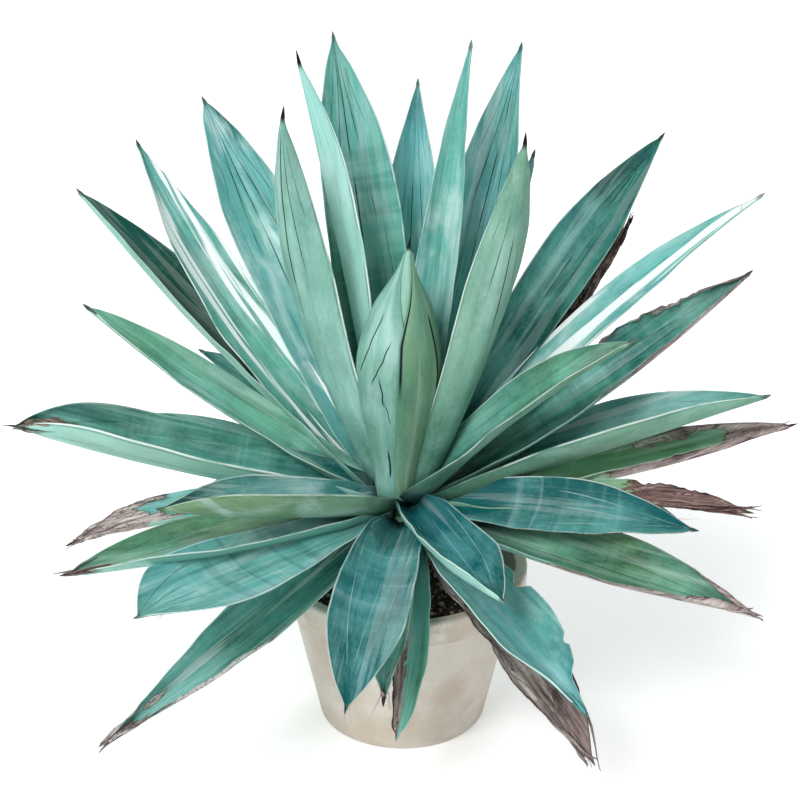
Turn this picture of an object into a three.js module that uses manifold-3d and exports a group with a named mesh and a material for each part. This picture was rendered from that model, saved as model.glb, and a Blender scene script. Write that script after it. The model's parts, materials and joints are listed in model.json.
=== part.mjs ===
// A blue agave in a plain pot: a rosette of long channelled leaves round a pointed bud,
// on a short stem that stands in gritty soil. Millimetres, +Z up, origin under the pot's middle.
import * as THREE from "three";
import { mergeVertices } from "three/addons/utils/BufferGeometryUtils.js";
import Module from "manifold-3d";

const wasm = await Module();
wasm.setup();

// Driving sizes
const GAP = 0.35; // clearance between touching pieces
const POT_HEIGHT = 200;
const POT_RIM_RADIUS = 148;
const POT_FOOT_RADIUS = 100;
const POT_WALL = 9;
const POT_FLOOR = 12;
const RIM_BAND = 34; // height of the thicker band at the pot's mouth
const DRAIN_COUNT = 3;
const DRAIN_RADIUS = 7;
const DRAIN_CIRCLE = 45;
const SOIL_DEPTH_BELOW_RIM = 22;
const SOIL_MOUND = 7; // how much the soil rises towards the stem
const STEM_RADIUS = 33; // where it leaves the soil
const STEM_SUNK = 68; // length of stem in the soil
const HEART_RADIUS = 58; // the swollen top of the stem, which the leaves grow from
const CROWN_HEIGHT = 285; // middle of the ring of leaf bases
const BUD_FOOT = 300;
const BUD_HEIGHT = 307;
const BUD_CORE_RADIUS = 44;
const BUD_OUTLINE = { belly: 0.5, neck: 0.5, taper: 1.25 };
const BUD_WRAP_THICKNESS = 3;
const BUD_WRAP_ANGLE = 62; // half of the turn that one wrapped leaf covers, in degrees
const MARGIN_THICKNESS = 1.2; // thickness of a blade's edge
const BLADE_THICKNESS = 6.5; // thickness of a blade's middle, away from its fleshy base
const SLIVER = 0.05; // detail finer than this is smoothed away after a cut
const ROUND_SEGMENTS = 32;
const STEM_SEGMENTS = 16;

const SOIL_LEVEL = POT_HEIGHT - SOIL_DEPTH_BELOW_RIM;
const LEAF_STATIONS = [0, 0.1, 0.23, 0.38, 0.53, 0.68, 0.82, 0.93, 1];
const LEAF_ACROSS = [-1, -0.5, 0, 0.5, 1];
const PATH_STEPS = 72;
const SLOPE_STEPS = 6; // steps that add up a blade's cross-slope from its middle to its edge

// Colours
const BLUE_LEAF = { color: 0x4f9d98, roughness: 0.55, metalness: 0 };
const GREEN_LEAF = { color: 0x6f9c7c, roughness: 0.6, metalness: 0 };
const DRY_LEAF = { color: 0x7d6a60, roughness: 0.85, metalness: 0 };
const BUD_LEAF = { color: 0x84ab8a, roughness: 0.55, metalness: 0 };
const STEM_BARK = { color: 0x8c7d5c, roughness: 0.85, metalness: 0 };
const SOIL_GRIT = { color: 0x5b4a3a, roughness: 0.95, metalness: 0 };
const POT_CLAY = { color: 0xcbc5ba, roughness: 0.7, metalness: 0 };

const plant = new THREE.Group();

// Adds a named mesh with a material of its own to the plant.
function place(name, geometry, finish) {
  const mesh = new THREE.Mesh(geometry, new THREE.MeshStandardMaterial(finish));
  mesh.name = name;
  plant.add(mesh);
}

// Turns a closed geometry into a solid that can be joined and cut.
function toSolid(geometry) {
  const bare = geometry.clone();
  bare.deleteAttribute("normal");
  bare.deleteAttribute("uv");
  const merged = mergeVertices(bare, 1e-3);
  const vertProperties = new Float32Array(merged.attributes.position.array);
  const triVerts = new Uint32Array(merged.index.array);
  return new wasm.Manifold(new wasm.Mesh({ numProp: 3, vertProperties, triVerts }));
}

function toGeometry(solid) {
  const mesh = solid.getMesh();
  const geometry = new THREE.BufferGeometry();
  geometry.setAttribute("position", new THREE.BufferAttribute(new Float32Array(mesh.vertProperties), 3));
  geometry.setIndex(Array.from(mesh.triVerts));
  geometry.computeVertexNormals();
  return geometry;
}

// The biggest body of a solid that cuts may have left in several scraps, without their finest slivers.
function biggestBody(solid) {
  const bodies = solid.simplify(SLIVER).decompose();
  return bodies.reduce((best, body) => (body.volume() > best.volume() ? body : best));
}

// A closed skin over rings of points: quads between the rings, and a fan to a point at either end.
function skin(rings, apex) {
  const count = rings[0].length;
  const positions = rings.flat().flatMap((point) => [point.x, point.y, point.z]);
  const triangles = [];
  const last = (rings.length - 1) * count;
  for (let ring = 0; ring < rings.length - 1; ring++) {
    for (let side = 0; side < count; side++) {
      const next = (side + 1) % count;
      const a = ring * count + side;
      const b = ring * count + next;
      // Both faces of a blade are split along the same diagonal, so that they never cross.
      if (side < count / 2) {
        triangles.push(a, b + count, b, a, a + count, b + count);
      } else {
        triangles.push(a, a + count, b, b, a + count, b + count);
      }
    }
  }
  const foot = new THREE.Vector3();
  rings[0].forEach((point) => foot.addScaledVector(point, 1 / count));
  const footIndex = positions.length / 3;
  positions.push(foot.x, foot.y, foot.z);
  const apexIndex = footIndex + 1;
  positions.push(apex.x, apex.y, apex.z);
  for (let side = 0; side < count; side++) {
    const next = (side + 1) % count;
    triangles.push(footIndex, side, next);
    triangles.push(apexIndex, last + next, last + side);
  }
  const geometry = new THREE.BufferGeometry();
  geometry.setAttribute("position", new THREE.Float32BufferAttribute(positions, 3));
  geometry.setIndex(triangles);
  return geometry;
}

// The tiers of leaves on the stem: radius and height of their feet, and how thick the feet are.
const TIERS = {
  inner: { radius: 18, height: 8, foot: 12 },
  upper: { radius: 26, height: 0, foot: 13 },
  middle: { radius: 32, height: -8, foot: 14 },
  lower: { radius: 36, height: -18, foot: 14 },
  skirt: { radius: 38, height: -30, foot: 13 },
};

// What a leaf is unless its row says otherwise. Lengths in mm, turns in degrees.
const COMMON = {
  droop: 12, // how far it bends down from foot to tip, negative where it bends up
  bend: 1.4, // 1 spreads the bend evenly, more keeps it for the tip
  sway: 0, // sideways bend, positive to the blade's right seen from its foot
  roll: 0, // turn about its own length, positive lifts its right edge
  twist: 0, // further roll by the time it reaches its tip
  left: 28, // how steeply the left half of the channel rises
  right: 28,
  belly: 0.56, // where along its length it is widest
  neck: 0.7, // its width above the foot, as a share of the widest
  taper: 1.75, // 1 narrows it straight to the tip, more keeps it wide and then blunt
  spine: 8,
};
const FOOT_CLASP = 48; // steepness of the channel where the foot clasps the stem
const TIP_FOLD = 18; // how much the channel closes towards the tip
const FOOT_FLARE = 0.16; // extra width right at the foot

// Rows are: turn from the front (+ is to the right), rise from level, length, width, and what differs.
const LEAVES = {
  inner: [
    [-160, 69, 540, 104, { droop: 8, roll: -14, belly: 0.6, taper: 2.1 }],
    [-134, 76, 522, 76, { droop: 6, roll: 24, twist: 60, spine: 16 }],
    [-98, 62, 486, 92, { droop: -34, roll: 22, twist: 50, spine: 14 }],
    [72, 49, 342, 78, { droop: 15, roll: 20, neck: 0.8 }],
    [80, 67, 466, 76, { droop: -20, roll: -25, twist: -45, belly: 0.58, spine: 14 }],
    [137, 67, 538, 98, { droop: 6, sway: 10, roll: 16 }],
    [149, 77, 525, 56, { droop: 4, roll: 10, belly: 0.45 }],
  ],
  upper: [
    [-136, 53, 524, 98, { droop: 2, roll: -34, belly: 0.68 }],
    [-119, 39, 512, 80, { droop: -24, roll: -30 }],
    [-115, 36, 515, 86, { droop: -6, right: 50, roll: -18 }],
    [-96, 31, 414, 64, { droop: -7, roll: -20, taper: 2.1 }],
    [-82, 14, 440, 110, { droop: -6, left: 42, right: 54, roll: -14, taper: 4 }],
    [-49, 15, 338, 92, { droop: -8, left: 46, right: 58, roll: -8 }],
    [23, -3, 254, 90, { droop: -12, left: 50, right: 20, roll: 14, neck: 0.8, belly: 0.62 }],
    [68, 10, 332, 76, { droop: 12, roll: 28, left: 12 }],
    [88, 20, 420, 98, { droop: 1, left: 60, right: 36, roll: 16 }],
    [96, 32, 464, 100, { droop: -9, left: 36, right: 40, roll: 24 }],
    [106, 46, 534, 56, { droop: 16, roll: 22 }],
    [122, 52, 515, 82, { droop: 8, roll: 34, belly: 0.66, neck: 0.5 }],
    [146, 50, 438, 60, { droop: -8, roll: 16 }],
    [176, 64, 495, 84, { droop: 8 }],
  ],
  middle: [
    [-136, 20, 355, 56, { droop: 16, roll: -20 }],
    [-106, 18, 340, 64, { droop: 16 }],
    [-73, 13, 370, 60, { droop: 28, roll: -10, taper: 2.5 }],
    [-55, 5, 415, 88, { droop: -4, roll: -10, right: 36 }],
    [-44, 5, 376, 110, { droop: 5, roll: -11, left: 8, right: 8, belly: 0.75, neck: 0.45, taper: 2.6 }],
    [61, -5, 414, 94, { droop: -4, roll: 20, left: 38 }],
    [93, 8, 442, 92, { droop: -10 }],
    [77, 14, 380, 62, { droop: 19, roll: -12, taper: 2.2, dry: true }],
    [126, 33, 345, 64, { droop: 3, dry: true }],
    [119, 43, 418, 52, { droop: -22, bend: 4, dry: true }],
    [-172, 36, 400, 84, { droop: 16 }],
    [150, 28, 400, 80, { droop: 20 }],
  ],
  lower: [
    [-47, -21, 430, 84, { droop: -10, roll: -24, left: 36, right: 36, belly: 0.5, taper: 1.25 }],
    [-7, 16, 312, 100, { droop: 78, sway: -10, left: 18, right: 14, roll: -8, belly: 0.68 }],
    [33, -12, 336, 92, { droop: 5, roll: 8, belly: 0.6, neck: 0.6 }],
    [178, 12, 400, 78, { droop: 30 }],
    [-158, 20, 400, 80, { droop: 30 }],
    [148, 8, 410, 80, { droop: 30 }],
    [104, 2, 345, 70, { droop: 34 }],
  ],
  skirt: [
    [-5, 6, 250, 60, { droop: 76 }],
    [6, -4, 274, 46, { droop: 80, sway: -18, left: 24, right: 24, belly: 0.4, neck: 0.9, taper: 5 }],
    [36, -19, 352, 84, { droop: 14, left: 12, right: 12, roll: 6, taper: 2.5, dry: true }],
    [-132, -2, 390, 78, { droop: 44 }],
    [130, 0, 380, 78, { droop: 42 }],
    [158, -6, 390, 74, { droop: 40 }],
    [-168, -4, 380, 74, { droop: 48 }],
    [-112, -8, 310, 70, { droop: 40 }],
  ],
};

const radians = (degrees) => THREE.MathUtils.degToRad(degrees);

// The sum of two directions, each times its own share.
const mix = (one, share, other, rest) => one.clone().multiplyScalar(share).addScaledVector(other, rest);

// Points and directions along a leaf's middle: forward, across to its right, and out of its upper face.
function leafPath(leaf) {
  const turn = radians(leaf.turn);
  const rise = radians(leaf.rise);
  const point = new THREE.Vector3(
    leaf.tier.radius * Math.sin(turn),
    -leaf.tier.radius * Math.cos(turn),
    CROWN_HEIGHT + leaf.tier.height,
  );
  const level = Math.cos(rise);
  const forward = new THREE.Vector3(level * Math.sin(turn), -level * Math.cos(turn), Math.sin(rise));
  const across = new THREE.Vector3(Math.cos(turn), Math.sin(turn), 0);
  const path = [];
  for (let step = 0; step <= PATH_STEPS; step++) {
    const above = new THREE.Vector3().crossVectors(forward, across);
    path.push({ point: point.clone(), forward: forward.clone(), across: across.clone(), above });
    const from = step / PATH_STEPS;
    const to = (step + 1) / PATH_STEPS;
    forward.applyAxisAngle(across, radians(leaf.droop) * (to ** leaf.bend - from ** leaf.bend));
    const upward = new THREE.Vector3().crossVectors(forward, across);
    const swing = radians(leaf.sway) * (to ** 1.3 - from ** 1.3);
    forward.applyAxisAngle(upward, swing);
    across.applyAxisAngle(upward, swing);
    point.addScaledVector(forward, leaf.length / PATH_STEPS);
  }
  return path;
}

// Half the blade's width at a share of its length, as a share of its widest half.
function widthShare(share, { belly, neck, taper }, flare) {
  if (share <= belly) {
    const x = share / belly;
    return neck + flare * Math.exp(-((share / 0.07) ** 2)) + (1 - neck) * x * x * (3 - 2 * x);
  }
  const x = (share - belly) / (1 - belly);
  return Math.max(0, 1 - x ** taper) ** 0.93;
}

function bladeThickness(leaf, share) {
  const fleshy = (leaf.tier.foot - BLADE_THICKNESS) * Math.exp(-((share / 0.28) ** 1.6));
  return Math.max((BLADE_THICKNESS + fleshy) * (1 - 0.55 * share ** 3), 3);
}

// One ring round the blade: its upper face from left to right, then its lower face back.
function leafRing(leaf, path, share, grow) {
  const station = share * (1 - leaf.spine / leaf.length) * PATH_STEPS;
  const index = Math.min(Math.floor(station), PATH_STEPS - 1);
  const part = station - index;
  const blend = (key) => path[index][key].clone().lerp(path[index + 1][key], part);
  const middle = blend("point");
  const turn = radians(leaf.roll + leaf.twist * share);
  const across = mix(blend("across"), Math.cos(turn), blend("above"), Math.sin(turn));
  const above = mix(blend("above"), Math.cos(turn), blend("across"), -Math.sin(turn));
  const half = Math.max((leaf.width / 2) * widthShare(share, leaf, FOOT_FLARE), 1.6);
  const thick = bladeThickness(leaf, share);
  const clasp = Math.exp(-((share / 0.16) ** 2));
  const upper = [];
  const lower = [];
  for (const u of LEAF_ACROSS) {
    const reach = Math.abs(u);
    const side = Math.sign(u);
    const open = u > 0 ? leaf.right : leaf.left;
    const lift = radians(open + (FOOT_CLASP - open) * clasp + TIP_FOLD * share ** 4);
    let out = 0;
    let up = 0;
    for (let step = 0; step < SLOPE_STEPS; step++) {
      const slope = lift * (0.5 + (reach * (step + 0.5)) / SLOPE_STEPS);
      out += (Math.cos(slope) * reach) / SLOPE_STEPS;
      up += (Math.sin(slope) * reach) / SLOPE_STEPS;
    }
    const slope = reach > 0 ? lift * (0.5 + reach) : 0;
    const face = mix(above, Math.cos(slope), across, -side * Math.sin(slope));
    const outward = mix(across, side * Math.cos(slope), above, Math.sin(slope));
    const point = mix(across, side * out * half, above, up * half).add(middle);
    point.addScaledVector(outward, reach === 1 ? grow : 0);
    const depth = MARGIN_THICKNESS + (thick - MARGIN_THICKNESS) * (1 - reach ** 1.6);
    upper.push(point.clone().addScaledVector(face, grow));
    lower.push(point.clone().addScaledVector(face, -depth - grow));
  }
  return [...upper, ...lower.reverse()];
}

// A whole leaf: blade, fleshy foot and terminal spine. grow swells it, to cut room for it in another.
function leafGeometry(leaf, grow = 0) {
  const path = leafPath(leaf);
  const rings = LEAF_STATIONS.map((share) => leafRing(leaf, path, share, grow));
  const end = path[PATH_STEPS];
  return skin(rings, end.point.clone().addScaledVector(end.forward, grow));
}

// A round piece: points of [radius, height] from the bottom of its axis to the top.
function turned(profile, segments) {
  const outline = profile.map(([radius, height]) => new THREE.Vector2(radius, height));
  const geometry = new THREE.LatheGeometry(outline, segments);
  geometry.rotateX(Math.PI / 2);
  return geometry;
}

// The stem from its cut foot, through the swollen heart, to the dome under the bud.
function stemGeometry(grow = 0) {
  const foot = SOIL_LEVEL - STEM_SUNK;
  const profile = [
    [0, foot],
    [STEM_RADIUS - 3, foot],
    [STEM_RADIUS, SOIL_LEVEL],
    [STEM_RADIUS + 9, SOIL_LEVEL + 32],
    [HEART_RADIUS - 3, CROWN_HEIGHT - 42],
    [HEART_RADIUS, CROWN_HEIGHT - 6],
    [HEART_RADIUS - 7, BUD_FOOT + 2],
    [HEART_RADIUS - 21, BUD_FOOT + 19],
    [HEART_RADIUS - 40, BUD_FOOT + 29],
    [0, BUD_FOOT + 31],
  ];
  const swollen = profile.map(([radius, height]) => [radius > 0 ? radius + grow : 0, height + grow]);
  return turned(swollen, STEM_SEGMENTS);
}

// The middle of the bud's axis at a share of its height: it leans a little to the right.
function budAxis(share) {
  return new THREE.Vector3(-8 + 16 * share ** 3, 4 * share, BUD_FOOT + BUD_HEIGHT * share);
}

function budRadius(share) {
  return widthShare(share, BUD_OUTLINE, 0) * BUD_CORE_RADIUS;
}

// The rolled leaves in the bud's middle, as one spindle with its spine.
function budCoreGeometry(grow = 0) {
  const sides = 14;
  const shares = [0, 0.12, 0.24, 0.36, 0.48, 0.6, 0.72, 0.83, 0.93];
  const rings = shares.map((share) => {
    const axis = budAxis(share);
    return Array.from({ length: sides }, (_, side) => {
      const angle = (2 * Math.PI * side) / sides;
      const radius = budRadius(share) + grow;
      return new THREE.Vector3(axis.x + radius * Math.cos(angle), axis.y - radius * Math.sin(angle), axis.z);
    });
  });
  return skin(rings, budAxis(1).add(new THREE.Vector3(0, 0, grow)));
}

// A young leaf still wrapped round the bud, centred at a turn from the front. It is made thicker
// inwards than it is, and the bud's core is then cut out of it.
function budWrapGeometry({ turn, top, layer }, grow = 0) {
  const shares = [0, 0.16, 0.34, 0.5, 0.66, 0.82, 0.95];
  const across = [-1, -0.6, -0.2, 0.2, 0.6, 1];
  const at = (share, angle, radius) => {
    const axis = budAxis(share);
    return new THREE.Vector3(axis.x + radius * Math.sin(angle), axis.y - radius * Math.cos(angle), axis.z);
  };
  const rings = shares.map((along) => {
    const share = along * top;
    const opening = radians(BUD_WRAP_ANGLE) * Math.min(1, 1.15 * Math.max(1 - along ** 3.2, 0.03));
    const radius = budRadius(share) + GAP;
    const outside = [];
    const inside = [];
    for (const u of across) {
      const angle = radians(turn) + u * (opening + (u * u === 1 ? grow / radius : 0));
      const bulge = 1 - Math.abs(u) ** 3 / layer;
      const depth = MARGIN_THICKNESS + (BUD_WRAP_THICKNESS * layer - MARGIN_THICKNESS) * bulge;
      outside.push(at(share, angle, radius + depth + grow));
      inside.push(at(share, angle, radius * 0.8));
    }
    return [...inside, ...outside.reverse()];
  });
  return skin(rings, at(top, radians(turn), budRadius(top) + GAP + 1.5));
}

function potGeometry() {
  const slope = (POT_RIM_RADIUS - 12 - POT_FOOT_RADIUS) / (POT_HEIGHT - RIM_BAND);
  const inside = (height) => POT_FOOT_RADIUS + slope * height - POT_WALL;
  const shell = turned(
    [
      [0, 0],
      [POT_FOOT_RADIUS - 3, 0],
      [POT_FOOT_RADIUS, 3],
      [POT_RIM_RADIUS - 12, POT_HEIGHT - RIM_BAND],
      [POT_RIM_RADIUS - 2, POT_HEIGHT - RIM_BAND + 2],
      [POT_RIM_RADIUS, POT_HEIGHT - RIM_BAND + 5],
      [POT_RIM_RADIUS + 1, POT_HEIGHT - 4],
      [POT_RIM_RADIUS - 1, POT_HEIGHT],
      [inside(POT_HEIGHT) + 3, POT_HEIGHT],
      [inside(POT_HEIGHT), POT_HEIGHT - 3],
      [inside(POT_FLOOR), POT_FLOOR],
      [0, POT_FLOOR],
    ],
    ROUND_SEGMENTS,
  );
  let pot = toSolid(shell);
  for (let index = 0; index < DRAIN_COUNT; index++) {
    const hole = new THREE.CylinderGeometry(DRAIN_RADIUS, DRAIN_RADIUS, POT_FLOOR * 3, 16);
    const angle = (2 * Math.PI * index) / DRAIN_COUNT;
    hole.rotateX(Math.PI / 2);
    hole.translate(DRAIN_CIRCLE * Math.sin(angle), -DRAIN_CIRCLE * Math.cos(angle), 0);
    pot = pot.subtract(toSolid(hole));
  }
  return toGeometry(pot);
}

// Soil fills the pot to a low mound round the stem, which stands in a plain hole.
function soilGeometry() {
  const slope = (POT_RIM_RADIUS - 12 - POT_FOOT_RADIUS) / (POT_HEIGHT - RIM_BAND);
  const edge = (height) => POT_FOOT_RADIUS + slope * height - POT_WALL - GAP;
  const floor = POT_FLOOR + GAP;
  const hole = SOIL_LEVEL - STEM_SUNK - GAP;
  return turned(
    [
      [0, floor],
      [edge(floor), floor],
      [edge(SOIL_LEVEL - SOIL_MOUND), SOIL_LEVEL - SOIL_MOUND],
      [POT_FOOT_RADIUS + 5, SOIL_LEVEL - 0.55 * SOIL_MOUND],
      [2 * STEM_RADIUS, SOIL_LEVEL - 0.15 * SOIL_MOUND],
      [STEM_RADIUS + GAP, SOIL_LEVEL],
      [STEM_RADIUS - 3 + GAP, hole],
      [0, hole],
    ],
    ROUND_SEGMENTS,
  );
}

place("pot", potGeometry(), POT_CLAY);
place("soil", soilGeometry(), SOIL_GRIT);
place("stem", stemGeometry(), STEM_BARK);

// Each piece is cut back by those that grew inside it, so the youngest ones stay whole.
const cutters = [toSolid(stemGeometry(GAP))];

const boxesMeet = (one, other) =>
  [0, 1, 2].every((k) => one.min[k] <= other.max[k] && other.min[k] <= one.max[k]);

// Adds a piece less what the pieces inside it take up, and keeps it as a cutter for those further out.
function grow(name, makeGeometry, finish) {
  let solid = toSolid(makeGeometry(0));
  const box = solid.boundingBox();
  for (const cutter of cutters.filter((other) => boxesMeet(box, other.boundingBox()))) {
    solid = solid.subtract(cutter);
  }
  place(name, toGeometry(biggestBody(solid)), finish);
  cutters.push(toSolid(makeGeometry(GAP)));
}

const BUD_WRAPS = {
  bud_leaf_left: { turn: -52, top: 0.97, layer: 1 },
  bud_leaf_back: { turn: 180, top: 0.9, layer: 1 },
  bud_leaf_right: { turn: 62, top: 0.93, layer: 2 },
};

grow("bud_core", budCoreGeometry, BUD_LEAF);
for (const [name, wrap] of Object.entries(BUD_WRAPS)) {
  grow(name, (swell) => budWrapGeometry(wrap, swell), BUD_LEAF);
}
for (const [tier, rows] of Object.entries(LEAVES)) {
  rows.forEach(([turn, rise, length, width, more], index) => {
    const leaf = { ...COMMON, turn, rise, length, width, ...more, tier: TIERS[tier] };
    const healthy = tier === "inner" ? GREEN_LEAF : BLUE_LEAF;
    grow(`${tier}_leaf_${index + 1}`, (swell) => leafGeometry(leaf, swell), leaf.dry ? DRY_LEAF : healthy);
  });
}

export default plant;
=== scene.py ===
"""A blue agave in a plain stoneware pot, dressed for rendering.

Every blade is rebuilt as a fine closed mesh from the driving sizes of its solid, and takes its
place. Lengths in the tables are millimetres and turns are degrees; the meshes are in metres.
"""

from __future__ import annotations

import json
import logging
import math
from dataclasses import dataclass, fields
from enum import Enum
from functools import partial, reduce
from typing import Any, Iterable, NamedTuple, Sequence

import bpy
import numpy as np
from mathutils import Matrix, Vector

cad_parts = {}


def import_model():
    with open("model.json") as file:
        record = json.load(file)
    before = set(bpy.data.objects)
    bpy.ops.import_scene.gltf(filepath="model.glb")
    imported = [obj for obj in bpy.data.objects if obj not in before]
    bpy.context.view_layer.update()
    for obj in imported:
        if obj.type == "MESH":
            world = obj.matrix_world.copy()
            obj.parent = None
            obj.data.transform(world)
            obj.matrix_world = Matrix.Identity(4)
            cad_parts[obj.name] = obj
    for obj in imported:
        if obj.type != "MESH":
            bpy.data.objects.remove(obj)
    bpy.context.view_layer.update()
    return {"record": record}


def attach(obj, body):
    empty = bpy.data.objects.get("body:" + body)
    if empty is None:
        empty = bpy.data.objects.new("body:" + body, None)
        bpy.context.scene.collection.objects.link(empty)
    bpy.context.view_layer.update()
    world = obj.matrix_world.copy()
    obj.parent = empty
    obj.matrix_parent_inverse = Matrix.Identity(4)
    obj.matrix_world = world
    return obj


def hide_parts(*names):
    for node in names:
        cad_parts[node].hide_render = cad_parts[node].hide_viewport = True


log = logging.getLogger("agave")

Array = np.ndarray
Colour = tuple[float, float, float]
Stops = tuple[tuple[float, Colour], ...]
MM = 0.001
UP = np.array([0.0, 0.0, 1.0])
GAP = 0.35  # clearance between touching pieces, in mm, as in the solids
CROWN_HEIGHT = 285.0  # middle of the ring of leaf feet
BLADE_THICKNESS = 6.5  # a blade's middle, away from its fleshy foot
MARGIN_THICKNESS = 1.2  # a blade's edge


def smooth(low: float, high: float, value: Array) -> Array:
    """Ramp from 0 at low to 1 at high, level at both ends.

    Args:
        low: Value where the ramp starts.
        high: Value where it ends; it may be the smaller of the two.
        value: Where to read the ramp.

    Returns:
        The ramp's height at each value.
    """
    t = np.clip((value - low) / (high - low), 0.0, 1.0)
    return t * t * (3.0 - 2.0 * t)


def ripple(seed: int, x: Array, y: Array | float = 0.0, octaves: int = 4) -> Array:
    """Smooth noise from crossed sine waves, mostly between -1 and 1.

    Args:
        seed: Picks the pattern.
        x: First coordinate; the broadest waves are about 6 long.
        y: Second coordinate.
        octaves: How many halvings of the wave length are added.

    Returns:
        The noise at each point.
    """
    draw = np.random.default_rng(seed)
    total = np.zeros(np.broadcast(x, y).shape)
    for octave in range(octaves):
        for _ in range(3):
            heading = draw.uniform(0.0, 2.0 * math.pi)
            pace = 2.0**octave * draw.uniform(0.8, 1.3)
            phase = draw.uniform(0.0, 2.0 * math.pi)
            wave = np.sin(pace * (x * math.cos(heading) + y * math.sin(heading)) + phase)
            total = total + 0.45 * 0.6**octave * wave
    return total


def turned_about(vector: Array, axis: Array, angle: float) -> Array:
    """Turn a vector about a unit axis.

    Args:
        vector: What is turned.
        axis: Unit vector.
        angle: Radians, right-handed.

    Returns:
        The turned vector.
    """
    level = np.cross(axis, vector)
    along = axis * np.dot(axis, vector)
    return vector * math.cos(angle) + level * math.sin(angle) + along * (1.0 - math.cos(angle))


def layers(*values: Array | float) -> Array:
    """Values brought to one shape and stacked in a last axis."""
    return np.stack(np.broadcast_arrays(*values), axis=-1)


def round_about(radius: Array, angle: Array, height: Array) -> Array:
    """Points round the upright axis.

    Args:
        radius: How far out.
        angle: Radians from the right, turning towards the front.
        height: How far up.

    Returns:
        x, y and z in the last axis.
    """
    return layers(radius * np.cos(angle), -radius * np.sin(angle), height)


def full_turn(count: int) -> Array:
    """Angles once round, as one row."""
    return np.linspace(0.0, 2.0 * math.pi, count, endpoint=False)[None, :]


def both_faces(values: Array) -> Array:
    """A blade's values from left to right on its upper face, and back on its lower one."""
    return np.concatenate([values, values[:, ::-1]], axis=1)


def facing(values: Array) -> Array:
    """1 over a blade's upper face and -1 over its lower one, in the order of both_faces."""
    return np.concatenate([np.ones_like(values), -np.ones_like(values)], axis=1)


def placed(name: str, data: Any) -> bpy.types.Object:
    """Make an object and link it to the scene.

    Args:
        name: Its name.
        data: Its mesh, camera or light.

    Returns:
        The object.
    """
    thing = bpy.data.objects.new(name, data)
    bpy.context.scene.collection.objects.link(thing)
    return thing


class Draft:
    """Points, faces and painted values of one piece, gathered before it becomes a mesh."""

    PAINTED = {"place": 3, "grain": 3, "state": 4}

    def __init__(self) -> None:
        """Start with nothing."""
        self.points: list[Array] = []
        self.faces: list[tuple[int, ...]] = []
        self.values: dict[str, list[Array]] = {name: [] for name in self.PAINTED}
        self.count = 0

    def add(self, points: Array, faces: Iterable[Sequence[int]], **painted: Any) -> None:
        """Take in a closed shell.

        Args:
            points: Rows of x, y, z in millimetres.
            faces: Corner numbers, counted from the shell's first point.
            painted: A row for each point of place, grain and state, or one row for all.
        """
        start = self.count
        self.points.append(points)
        self.faces.extend(tuple(corner + start for corner in face) for face in faces)
        for name, width in self.PAINTED.items():
            given = np.asarray(painted.get(name, np.zeros(width)), dtype=float)
            self.values[name].append(np.broadcast_to(given, (len(points), width)))
        self.count += len(points)

    def tube(self, rings: Array, apex: Array | None = None, **painted: Any) -> None:
        """Take in a shell of rings, closed by a fan at the foot and by a fan or a point at the top.

        Args:
            rings: Array of rings, points round each ring, and x, y, z.
            apex: The point that closes the top, or None for the middle of the last ring.
            painted: place, grain and state as arrays of rings by points, or one row for all.
        """
        rows, around = rings.shape[:2]
        apex = rings[-1].mean(axis=0) if apex is None else apex
        points = np.vstack([rings.reshape(-1, 3), rings[0].mean(axis=0)[None], apex[None]])
        foot, top = rows * around, rows * around + 1
        faces: list[tuple[int, ...]] = []
        for row in range(rows - 1):
            a = row * around
            for k in range(around):
                b = (k + 1) % around
                faces.append((a + k, a + around + k, a + around + b, a + b))
        last = (rows - 1) * around
        for k in range(around):
            b = (k + 1) % around
            faces.append((foot, k, b))
            faces.append((top, last + b, last + k))
        spread = {}
        for name, value in painted.items():
            value = np.asarray(value, dtype=float)
            if value.ndim == 3:
                ends = [value[0].mean(axis=0)[None], value[-1].mean(axis=0)[None]]
                value = np.vstack([value.reshape(-1, value.shape[-1]), *ends])
            spread[name] = value
        self.add(points, faces, **spread)

    def build(self, name: str, material: bpy.types.Material, look: Look | None = None) -> bpy.types.Object:
        """Make the mesh object.

        Args:
            name: The piece's name.
            material: Its one material.
            look: A leaf's own colours, painted all over it.

        Returns:
            The object, linked to the scene and shaded smooth.
        """
        mesh = bpy.data.meshes.new(name)
        mesh.from_pydata((np.vstack(self.points) * MM).tolist(), [], self.faces)
        mesh.polygons.foreach_set("use_smooth", [True] * len(mesh.polygons))
        for key, width in self.PAINTED.items():
            kind = "FLOAT_VECTOR" if width == 3 else "FLOAT_COLOR"
            layer = mesh.attributes.new(key, kind, "POINT")
            layer.data.foreach_set("vector" if width == 3 else "color", np.vstack(self.values[key]).ravel())
        for key, value in (look.painted() if look else {}).items():
            layer = mesh.attributes.new(key, "FLOAT_COLOR", "POINT")
            layer.data.foreach_set("color", np.tile(value, self.count))
        mesh.materials.append(material)
        mesh.update()
        return placed(name, mesh)


def settle(piece: bpy.types.Object, node: str, slot: str) -> None:
    """Put a piece in the place of its solid.

    Args:
        piece: The piece.
        node: The solid's name.
        slot: The record's material slot; not used.
    """
    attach(piece, "root")
    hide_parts(node)
    log.info("%s: %d faces", piece.name, len(piece.data.polygons))


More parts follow.
